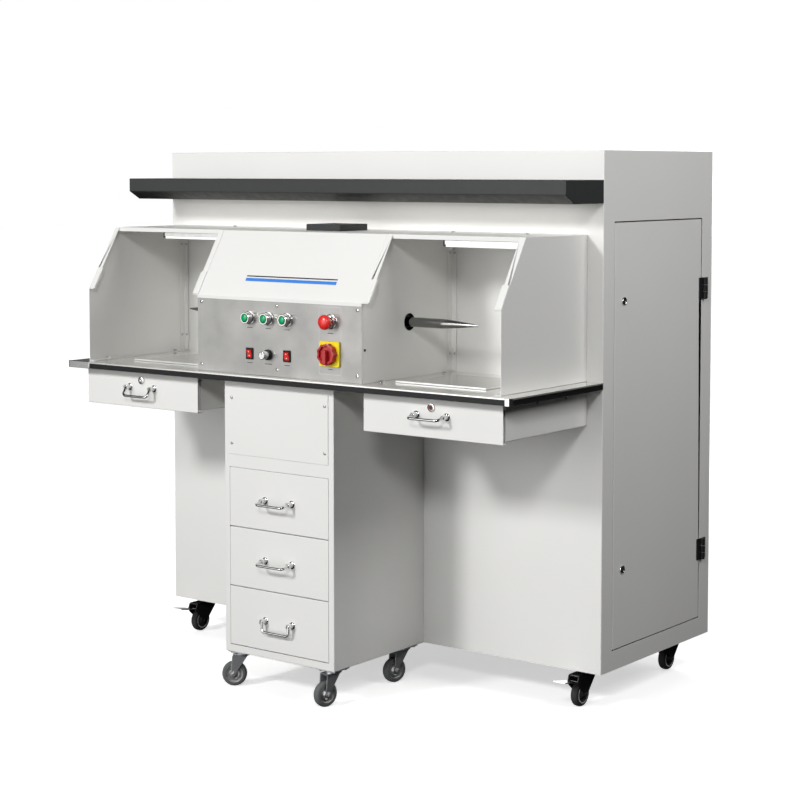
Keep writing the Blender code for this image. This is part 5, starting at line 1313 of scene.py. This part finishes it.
class BENCH_OT_controls(Operator):
    """Add the push-buttons, lamp switches, speed knob, emergency stop and isolator handle"""
    bl_idname = "bench.controls"
    bl_label = "Controls"

    def execute(self, context):
        places = control_places()
        for node in BUTTONS:
            x, z, _, _ = places[node]
            bm = bmesh.new()
            lathe(bm, [(0, 0.0236), (0.0040, 0.0235), (0.0072, 0.0229), (0.0092, 0.0217), (0.0101, 0.0198),
                       (0.0101, -0.0030), (0, -0.0030)], on_panel(x, z), 40)
            piece(node + "_lens", bm, "green_lens", node, node)
        for node in SWITCHES:
            softened(node + "_paddle", node, "red_moulding", node, fold=0.0009, rim=False)
            self.add_switch_marks(node, *places[node][:2])
        self.add_knob(*places["speed_knob"][:2])
        x, z, _, _ = places["emergency_stop"]
        bm = bmesh.new()
        lathe(bm, [(0, 0.0340), (0.0060, 0.0337), (0.0115, 0.0325), (0.0158, 0.0301), (0.0183, 0.0268),
                   (0.0190, 0.0240), (0.0184, 0.0214), (0.0165, 0.0202), (0.0141, 0.0202), (0.0141, 0.0262),
                   (0.0104, 0.0262), (0.0104, -0.004), (0, -0.004)], on_panel(x, z), 48)
        piece("emergency_stop_head", bm, "red_moulding", "emergency_stop", "emergency_stop")
        self.add_isolator(*places["isolator_handle"][:2])
        return {"FINISHED"}

    def add_switch_marks(self, node, x, z):
        """White dots on the two ends of a switch."""
        walls = walls_of(node)
        bm = bmesh.new()
        for rise in (0.0052, -0.0052):
            place, normal, _, _ = walls.ray_cast((x, PANEL_FACE_Y - 1, z + rise), (0, 1, 0))
            turn = normal.to_track_quat("Z", "Y").to_matrix().to_4x4()
            lathe(bm, [(0, 0.0003), (0.0014, 0.0002), (0.0017, 0), (0, -0.0004)],
                  Matrix.Translation(place) @ turn, 20)
        piece(node + "_marks", bm, "white_moulding", node)

    def add_knob(self, x, z):
        """Silver knob with flutes and a pointer, on a black skirt."""
        rear, flutes = 0.0018, 24
        bm = bmesh.new()
        lathe(bm, [(0, rear), (0.0138, rear), (0.0140, rear + 0.0012), (0.0132, rear + 0.0054),
                   (0.0122, rear + 0.0060), (0, rear + 0.0060)], on_panel(x, z), 48)
        piece("speed_knob_skirt", bm, "edge_band", "speed_knob")
        bm, part = bmesh.new(), bmesh.new()
        bmesh.ops.create_circle(part, cap_ends=True, segments=2 * flutes, radius=0.0104)
        ring = sorted(part.verts, key=lambda vert: atan2(vert.co.y, vert.co.x))[::2]
        bmesh.ops.scale(part, verts=ring, vec=(0.955, 0.955, 1))
        raise_faces(part, 0.0152)
        absorb(bm, part, on_panel(x, z) @ Matrix.Translation((0, 0, rear + 0.0060)))
        lathe(bm, [(0, rear + 0.0208), (0.0098, rear + 0.0208), (0.0102, rear + 0.0220),
                   (0.0096, rear + 0.0256), (0.0088, rear + 0.0260), (0.0084, rear + 0.0254),
                   (0, rear + 0.0254)], on_panel(x, z), 48)
        piece("speed_knob_cap", bm, "polished_steel", "speed_knob", "speed_knob")
        bm = bmesh.new()
        slab(bm, (-0.0007, 0.0022, rear + 0.0250), (0.0007, 0.0080, rear + 0.0257), 0.0002,
             place=on_panel(x, z))
        piece("speed_knob_pointer", bm, "dark_print", "speed_knob")

    def add_isolator(self, x, z):
        """Lobed handle with a sunk face and a broad grip across it."""
        lobes, radius, dip, rear = 9, 0.0272, 0.0024, 0.0063
        bm, part = bmesh.new(), bmesh.new()
        bmesh.ops.create_circle(part, cap_ends=True, segments=lobes * 12, radius=radius)
        for vert in part.verts:
            wave = 1 - cos(lobes * atan2(vert.co.y, vert.co.x))
            bmesh.ops.scale(part, verts=[vert], vec=Vector((1, 1, 0)) * (1 - dip / radius * wave / 2))
        raise_faces(part, 0.0150)
        bmesh.ops.recalc_face_normals(part, faces=part.faces)
        crown = max(part.faces, key=lambda face: face.calc_center_median().z)
        for inset, rise in ((0.0012, 0.0008), (0.0040, 0.0), (0.0006, -0.0060)):
            bmesh.ops.inset_region(part, faces=[crown], thickness=inset, depth=rise, use_even_offset=True)
        absorb(bm, part, on_panel(x, z) @ Matrix.Translation((0, 0, rear)))
        slab(bm, (-0.0064, -0.0252, rear + 0.0060), (0.0064, 0.0105, rear + 0.0225), 0.0026, 4,
             on_panel(x, z))
        shaft = [(0, -0.003), (0.0058, -0.003), (0.0058, rear + 0.004), (0, rear + 0.004)]
        lathe(bm, shaft, on_panel(x, z), 24)
        piece("isolator_grip", bm, "dark_red_moulding", "isolator_handle", "isolator_handle")


class BENCH_OT_spindles(Operator):
    """Add the two tapered polishing spindles"""
    bl_idname = "bench.spindles"
    bl_label = "Spindles"

    def execute(self, context):
        for name in SIDES:
            node = name + "_spindle"
            bm = bmesh.new()
            profile = [(0, -0.085), (0.0122, -0.085), (0.0122, 0.102), (0.0119, 0.108), (0.0108, 0.124),
                       (0.0088, 0.148), (0.0063, 0.173), (0.0036, 0.197), (0.0014, 0.2112), (0, 0.2120)]
            lathe(bm, profile, seat(JOINTS[node + "_spin"]["pos_m"], name), 64)
            piece(node + "_shaft", bm, "turned_steel", node, node)
        return {"FINISHED"}


# Pedestal and drawers

PULL_SPAN = 0.0893                  # between the ears, and the bail's legs in them
PULL_PIVOT = 0.014                  # drawer front to the pivot
PULL_REACH = 0.025
PULL_TIP = 0.003                    # leg's end past the pivot
EAR_SLOT = (0.0043, 0.0088)         # half of the slot's width, and drawer front to its end
BAIL_PIN = [(0, -0.0064), (0.0019, -0.0064), (0.0019, 0.0064), (0, 0.0064)]
HOUSING_SCREWS_Y = (-0.294, -0.166)
HOUSING_SCREWS_DROP = 0.0136        # below the worktop's edge
ACCESS_SCREW_INSET = (0.010, 0.029)


class BENCH_OT_pedestal(Operator):
    """Add the pedestal's case and its screwed access panel"""
    bl_idname = "bench.pedestal"
    bl_label = "Pedestal"

    def execute(self, context):
        softened("pedestal_shell", "pedestal_case", "powder_coat", fold=0.0018)
        softened("access_cover", "access_panel", "powder_coat")
        bm = bmesh.new()
        inset_x, inset_z = ACCESS_SCREW_INSET
        for x in (ACCESS_LOW.x + inset_x, ACCESS_HIGH.x - inset_x):
            for z in (ACCESS_LOW.z + inset_z, ACCESS_HIGH.z - inset_z):
                screw_head(bm, seat((x, ACCESS_LOW.y, z), "front"), fittings().screw)
        piece("access_screws", bm, "zinc_plate", BENCH)
        return {"FINISHED"}


def pull_pose(drawer):
    """Pivot of a drawer's pull and the angle that its bail is raised by."""
    x, y, z = JOINTS[drawer + "_pull_swing"]["pos_m"]
    low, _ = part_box(drawer + "_pull")
    wire = fittings().pull_wire
    return Vector((x, y, z)), atan2(y - low.y - wire, z - low.z - wire)


def slotted_ear(bm, place):
    """A turned ear with a slot across its end for a bail's leg."""
    radius, length = 0.0071, 0.0200
    half, end = EAR_SLOT
    lathe(bm, [(0, 0), (0.0094, 0), (0.0094, 0.0008), (0.0082, 0.0020), (radius - 0.0008, 0.0028),
               (radius - 0.0008, end), (0, end)], place, 32)
    for side in (-1, 1):
        part = bmesh.new()
        lathe(part, [(0, end - 0.0002), (radius - 0.0008, end - 0.0002), (radius, end + 0.0016),
                     (radius, length - 0.0030), (radius - 0.0012, length - 0.0010), (radius - 0.0030, length),
                     (0, length)], Matrix.Identity(4), 32)
        bmesh.ops.bisect_plane(
            part, geom=everything(part), dist=MERGE, plane_co=(side * half, 0, 0), plane_no=(side, 0, 0),
            clear_inner=True)
        bmesh.ops.holes_fill(part, edges=open_edges(part), sides=0)
        absorb(bm, part, place)


def add_pull(drawer):
    """Two slotted ears on the drawer's front and the wire bail that turns on pins in them."""
    pivot, angle = pull_pose(drawer)
    ears, bail = bmesh.new(), bmesh.new()
    place = Matrix.Translation(pivot) @ Matrix.Rotation(-angle, 4, "X")
    half = PULL_SPAN / 2
    for x in (-half, half):
        slotted_ear(ears, seat((pivot.x + x, pivot.y + PULL_PIVOT, pivot.z), "front"))
        lathe(bail, BAIL_PIN, place @ seat((x, 0, 0), "right"), 16)
    piece(drawer + "_pull_ears", ears, "polished_steel", drawer)
    path = [(-half, 0, PULL_TIP), (-half, 0, -PULL_REACH), (half, 0, -PULL_REACH), (half, 0, PULL_TIP)]
    bent_wire(bail, path, fittings().pull_wire, fittings().pull_bend, place)
    piece(drawer + "_bail", bail, "polished_steel", drawer + "_pull", drawer + "_pull")


class BENCH_OT_drawers(Operator):
    """Add the pedestal drawers, the catch drawers and their housings, pulls and locks"""
    bl_idname = "bench.drawers"
    bl_label = "Drawers"

    def execute(self, context):
        for drawer in PEDESTAL_DRAWERS + CATCH_DRAWERS:
            softened(drawer + "_sheet", drawer, "powder_coat", drawer, fold=0.0018)
            add_pull(drawer)
        heads = bmesh.new()
        back = FRONT_Y + LOCK_DEPTH
        for name, ring, bore in (("left", "polished_steel", KEY_PLUG), ("right", "copper_ring", 0.0046)):
            housing = name + "_drawer_housing"
            softened(name + "_drawer_channel", housing, "powder_coat")
            self.add_housing_screws(heads, housing, SIDES[name])
            node = name + "_catch_drawer_lock"
            x, _, z = JOINTS[node + "_turn"]["pos_m"]
            cam = ((x, back - CAM_THICK, z - CAM_HALF), (x + DRAWER_CAM_REACH, back, z + CAM_HALF))
            cam_lock(node, (x, FRONT_Y, z), "front", cam, ring, bore)
        piece("drawer_housing_screws", heads, "zinc_plate", BENCH)
        return {"FINISHED"}

    def add_housing_screws(self, heads, node, side):
        """Two screws high on the outer wall of a catch drawer's housing."""
        walls = walls_of(node)
        turn = Matrix.Rotation(side * pi / 2, 4, "Y")
        z = WORKTOP_LOW.z - HOUSING_SCREWS_DROP
        for y in HOUSING_SCREWS_Y:
            place, _, _, _ = walls.ray_cast((side, y, z), (-side, 0, 0))
            screw_head(heads, Matrix.Translation(place) @ turn, fittings().screw)


# Casters

CASTER_TOP = CABINET_LOW.z          # underside of the cabinet and the pedestal
CASTER_PLATE = 0.003
CASTER_HALF = 0.012                 # half of a wheel's width
CHEEK_GAP = 0.0132                  # from a wheel's middle to a fork's cheek
CHEEK = 0.0025
AXLE_BOLT = 0.0055                  # half of a bolt head's width across corners, as the next
PLATE_BOLT = 0.0040
PLATE_BOLT_INSET = 0.0075           # from a plate's edges
KING_PIN_HOLE = 0.0064              # half of the window in a plate


def caster_seat(name):
    """The matrix from a caster's own frame, with its king pin at the origin and its trail along -Y."""
    x, y, _ = JOINTS[name + "_caster_swivel"]["pos_m"]
    across = Vector(JOINTS[name + "_caster_roll"]["axis"]).normalized()
    ahead = Vector((0, 0, 1)).cross(across)
    return Matrix((
        (across.x, ahead.x, 0, x), (across.y, ahead.y, 0, y), (0, 0, 1, 0), (0, 0, 0, 1),
    ))


def axle_of(name, place):
    """Trail and height of a caster's axle in its own frame."""
    axle = place.inverted() @ Vector(JOINTS[name + "_caster_roll"]["pos_m"])
    return axle.y, axle.z


def add_fork(name, place, group):
    """Swivel head, crown, cheeks and axle bolt of a caster."""
    node = name + "_caster_fork"
    axle_y, axle_z = axle_of(name, place)
    top = CASTER_TOP - CASTER_PLATE - 0.0003
    crown = top - 0.010
    root = crown + 0.0015
    broad = group == "cabinet"
    radius = 0.024 if broad else 0.022
    look = "satin_black" if broad else "zinc_plate"
    bm = bmesh.new()
    rear = 0.0204 if broad else 0.011
    ahead = axle_y - 0.030 if broad else axle_y - 0.006
    eye = 0.0099 if broad else 0.0078
    foot = [(axle_y + eye, axle_z - eye / 2), (axle_y, axle_z - eye), (axle_y - eye, axle_z - eye / 2),
            (axle_y - eye, axle_z + eye)]
    if broad:
        nose = 0.068
        outline = [(rear, root), (rear - 0.004, crown - eye), *foot, (ahead, nose - eye),
                   (ahead - eye / 2, nose), (ahead, root)]
    else:
        outline = [(rear, root), (axle_y + eye, axle_z + eye), *foot, (ahead + 0.001, root)]
    for side in (-1, 1):
        start = CHEEK_GAP if side > 0 else -CHEEK_GAP - CHEEK
        plate(bm, outline, CHEEK, place @ seat((start, 0, 0), "right"), 0.0035, 0.0006)
    outer = CHEEK_GAP + CHEEK
    slab(bm, (-outer, ahead + 0.002, crown - 0.0014), (outer, rear - 0.001, crown + 0.0028), 0.001, 2, place)
    for facing, x in (("right", outer), ("left", -outer)):
        hex_bolt(bm, place @ seat((x, axle_y, axle_z), facing), AXLE_BOLT)
    piece(node + "_arms", bm, look, node, node)
    bm = bmesh.new()
    lathe(bm, [(0, crown), (radius * 0.82, crown + 0.0005), (radius, crown + 0.0030),
               (radius, crown + 0.0046), (radius * 0.93, crown + 0.0054), (radius * 0.93, crown + 0.0062),
               (radius, crown + 0.0070), (radius * 0.97, top), (0, top)], place, 40)
    lathe(bm, [(0, crown - 0.0040), (0.0062, crown - 0.0040), (0.0074, crown - 0.0026), (0.0074, crown),
               (0, crown)], place, 24)
    piece(node + "_head", bm, look, node)


def both_flanks(half):
    """A wheel's closed profile from one half of it."""
    return half + [(radius, -height) for radius, height in reversed(half)] + [half[0]]


def add_wheel(name, place, group):
    """Tyre with a rounded tread, and a dished hub."""
    node = name + "_caster_wheel"
    axle_y, radius = axle_of(name, place)
    stand = place @ seat((0, axle_y, radius), "right")
    broad = group == "cabinet"
    hub = 0.0195 if broad else 0.0225
    flank = CASTER_HALF - 0.0018
    tyre = bmesh.new()
    tread = [(hub, flank), (radius - 0.0052, flank), (radius - 0.0022, flank - 0.0014),
             (radius - 0.0006, flank - 0.0040), (radius, flank - 0.0075)]
    lathe(tyre, both_flanks(tread), stand, 56)
    piece(node + "_tyre", tyre, "black_tyre" if broad else "grey_tyre", node, node)
    core = bmesh.new()
    dish = [(0.0051, CASTER_HALF), (0.0098, CASTER_HALF), (0.0106, CASTER_HALF - 0.0012),
            (0.0135, CASTER_HALF - 0.0052), (hub - 0.0030, CASTER_HALF - 0.0052),
            (hub - 0.0014, CASTER_HALF - 0.0014), (hub + 0.0004, CASTER_HALF - 0.0012),
            (hub + 0.0004, flank)]
    lathe(core, both_flanks(dish), stand, 56)
    piece(node + "_hub", core, "black_tyre" if broad else "hub_silver", node)
    if broad:
        ring = bmesh.new()
        inner, outer = hub + 0.0010, hub + 0.0034
        under, proud = flank - 0.0010, flank + 0.0004
        band = [(inner, under), (inner, proud), (outer, proud), (outer, under), (inner, under)]
        lathe(ring, band, stand, 56)
        lathe(ring, [(r, -h) for r, h in band], stand, 56)
        piece(node + "_ring", ring, "white_moulding", node)


class BENCH_OT_casters(Operator):
    """Add the four black casters of the cabinet and the four zinc casters of the pedestal"""
    bl_idname = "bench.casters"
    bl_label = "Casters"

    def execute(self, context):
        low = CASTER_TOP - CASTER_PLATE - EASE / 2
        for group, plate_look, plate_size in (
            ("cabinet", "satin_black", 0.061),
            ("pedestal", "zinc_plate", 0.059),
        ):
            plates, bolts = bmesh.new(), bmesh.new()
            half = plate_size / 2
            spread_out = half - PLATE_BOLT_INSET
            for corner in CORNERS:
                name = f"{group}_{corner}"
                place = caster_seat(name)
                add_fork(name, place, group)
                add_wheel(name, place, group)
                x, y, _ = JOINTS[name + "_caster_swivel"]["pos_m"]
                window = ((x - KING_PIN_HOLE, y - KING_PIN_HOLE), (x + KING_PIN_HOLE, y + KING_PIN_HOLE))
                windowed(plates, (x - half, y - half), (x + half, y + half), CASTER_PLATE + EASE / 2 - 0.0002,
                         [window], seat((0, 0, low)))
                for dx in (-spread_out, spread_out):
                    for dy in (-spread_out, spread_out):
                        hex_bolt(bolts, seat((x + dx, y + dy, low), "down"), PLATE_BOLT)
            piece(group + "_caster_plates", plates, plate_look, BENCH)
            piece(group + "_caster_bolts", bolts, "zinc_plate", BENCH)
        for side in SIDES:
            node = f"cabinet_front_{side}_brake_pedal"
            softened(node + "_lever", node, "polished_steel", node, fold=0.0012)
        return {"FINISHED"}


# Stage

CAMERA_PLACE = (3.1226, -4.0531, 1.3467)
CAMERA_TILT = radians(90 - 3.5789)
CAMERA_TURN = radians(37.1699)
CAMERA_SHIFT = -0.14
LIGHT_AIM = Vector((0.0, -0.1, 0.85))
LEFT_LIGHT_PLACE = Vector((-1.25, -4.9, 3.3))
RIGHT_LIGHT_PLACE = Vector((2.6, -4.5, 3.2))
SIDE_LIGHT_PLACE = Vector((2.9, 0.1, 2.55))
TOP_LIGHT_PLACE = Vector((0.0, -0.6, 4.2))
REAR_LIGHT_PLACE = Vector((-3.0, 3.4, 2.8))
REAR_SHARE = 0.92                   # how far the air behind reaches the brightness of that in front
AIR_LEAN = 0.3                      # how far the bright air lies to the left of straight ahead
FLOOR_SIZE = 60.0


class BENCH_OT_stage(Operator):
    """Add the floor, the soft studio light and the camera"""
    bl_idname = "bench.stage"
    bl_label = "Stage"

    def execute(self, context):
        studio = context.scene.bench_studio
        self.add_floor(studio)
        self.add_air(studio)
        self.add_lights(studio)
        self.add_camera(studio)
        context.scene.view_settings.view_transform = "Standard"
        return {"FINISHED"}

    def add_floor(self, studio):
        """A wide pale floor that fades to white far away."""
        material, tree, shader, coords = surface("studio_floor", 0.85)
        tint(tree, shader, noise(tree, coords, 1.5), darker(studio.floor, 0.01), studio.floor)
        shader.inputs["Emission Color"].default_value = (1, 1, 1, 1)
        away = tree.nodes.new("ShaderNodeVectorMath")
        away.operation = "LENGTH"
        tree.links.new(coords, away.inputs[0])
        glow = spread(tree, away.outputs["Value"], studio.glow, 1.0, 2.0, 7.0)
        tree.links.new(glow, shader.inputs["Emission Strength"])
        bm = bmesh.new()
        bmesh.ops.create_grid(bm, x_segments=1, y_segments=1, size=FLOOR_SIZE / 2)
        mesh = bpy.data.meshes.new("studio_floor")
        bm.to_mesh(mesh)
        bm.free()
        mesh.materials.append(material)
        floor = bpy.data.objects.new("studio_floor", mesh)
        floor.visible_diffuse = False
        floor.visible_glossy = False
        bpy.context.scene.collection.objects.link(floor)

    def add_air(self, studio):
        """Soft light from before and behind, dim at the ends and from below, and a white backdrop."""
        world = bpy.data.worlds.new("studio_air")
        bpy.context.scene.world = world
        world.use_nodes = True
        tree = world.node_tree
        direction = tree.nodes.new("ShaderNodeTexCoord").outputs["Generated"]
        split = tree.nodes.new("ShaderNodeSeparateXYZ")
        tree.links.new(direction, split.inputs["Vector"])
        ahead = math_node(tree, "MULTIPLY", split.outputs["Y"], -1.0)
        behind = math_node(tree, "MULTIPLY", split.outputs["Y"], REAR_SHARE)
        depth = math_node(tree, "MAXIMUM", ahead, behind)
        leftward = math_node(tree, "MULTIPLY", split.outputs["X"], -AIR_LEAN)
        lobe = math_node(tree, "ADD", depth, leftward)
        air = math_node(
            tree, "MULTIPLY",
            spread(tree, lobe, studio.end_air, studio.front_air, 0.87, 1.04),
            spread(tree, split.outputs["Z"], studio.low_air, 1.0, -0.35, 0.0))
        seen = tree.nodes.new("ShaderNodeLightPath").outputs["Is Camera Ray"]
        tree.links.new(math_node(tree, "MAXIMUM", air, seen), tree.nodes["Background"].inputs["Strength"])
        tree.nodes["Background"].inputs["Color"].default_value = (1, 1, 1, 1)

    def add_lights(self, studio):
        """Two soft lights in front and above, one on the door's side, one overhead and one behind."""
        for name, place, power, size in (
            ("left_light", LEFT_LIGHT_PLACE, studio.left_power, studio.front_size),
            ("right_light", RIGHT_LIGHT_PLACE, studio.right_power, studio.front_size),
            ("side_light", SIDE_LIGHT_PLACE, studio.side_power, studio.side_size),
            ("top_light", TOP_LIGHT_PLACE, studio.top_power, studio.top_size),
            ("rear_light", REAR_LIGHT_PLACE, studio.rear_power, studio.rear_size),
        ):
            data = bpy.data.lights.new(name, "AREA")
            data.energy = power
            data.size = size
            light = bpy.data.objects.new(name, data)
            light.location = place
            light.rotation_euler = (place - LIGHT_AIM).to_track_quat("Z", "Y").to_euler()
            light.visible_glossy = name != "rear_light"
            bpy.context.scene.collection.objects.link(light)

    def add_camera(self, studio):
        """The camera at the photograph's place and angle."""
        data = bpy.data.cameras.new("camera")
        data.lens = studio.lens
        data.shift_y = CAMERA_SHIFT
        camera = bpy.data.objects.new("camera", data)
        camera.location = CAMERA_PLACE
        camera.rotation_euler = (CAMERA_TILT, 0, CAMERA_TURN)
        bpy.context.scene.collection.objects.link(camera)
        bpy.context.scene.camera = camera


# Add-on

OPERATORS = (
    BENCH_OT_cabinet, BENCH_OT_side_door, BENCH_OT_filters, BENCH_OT_lamp_bar, BENCH_OT_worktop,
    BENCH_OT_hoods, BENCH_OT_control_box, BENCH_OT_control_panel, BENCH_OT_controls, BENCH_OT_spindles,
    BENCH_OT_pedestal, BENCH_OT_drawers, BENCH_OT_casters, BENCH_OT_stage,
)


class BENCH_PT_sidebar(Panel):
    """The bench's pieces and settings"""
    bl_idname = "BENCH_PT_sidebar"
    bl_label = "Polishing Bench"
    bl_space_type = "VIEW_3D"
    bl_region_type = "UI"
    bl_category = "Bench"

    def draw(self, context):
        for operator in OPERATORS:
            self.layout.operator(operator.bl_idname)
        for name, group in SETTINGS.items():
            box = self.layout.box()
            box.label(text=group.__doc__)
            for setting in group.__annotations__:
                box.prop(getattr(context.scene, name), setting)


def register():
    """Registers the settings, the operators and the panel."""
    for name, group in SETTINGS.items():
        bpy.utils.register_class(group)
        setattr(bpy.types.Scene, name, PointerProperty(type=group))
    for item in (*OPERATORS, BENCH_PT_sidebar):
        bpy.utils.register_class(item)


def unregister():
    """Removes what register added."""
    for item in reversed((*OPERATORS, BENCH_PT_sidebar)):
        bpy.utils.unregister_class(item)
    for name, group in SETTINGS.items():
        delattr(bpy.types.Scene, name)
        bpy.utils.unregister_class(group)


def main():
    """Builds every piece and the stage."""
    register()
    for operator in OPERATORS:
        group, action = operator.bl_idname.split(".")
        getattr(getattr(bpy.ops, group), action)()


if __name__ == "__main__":
    main()
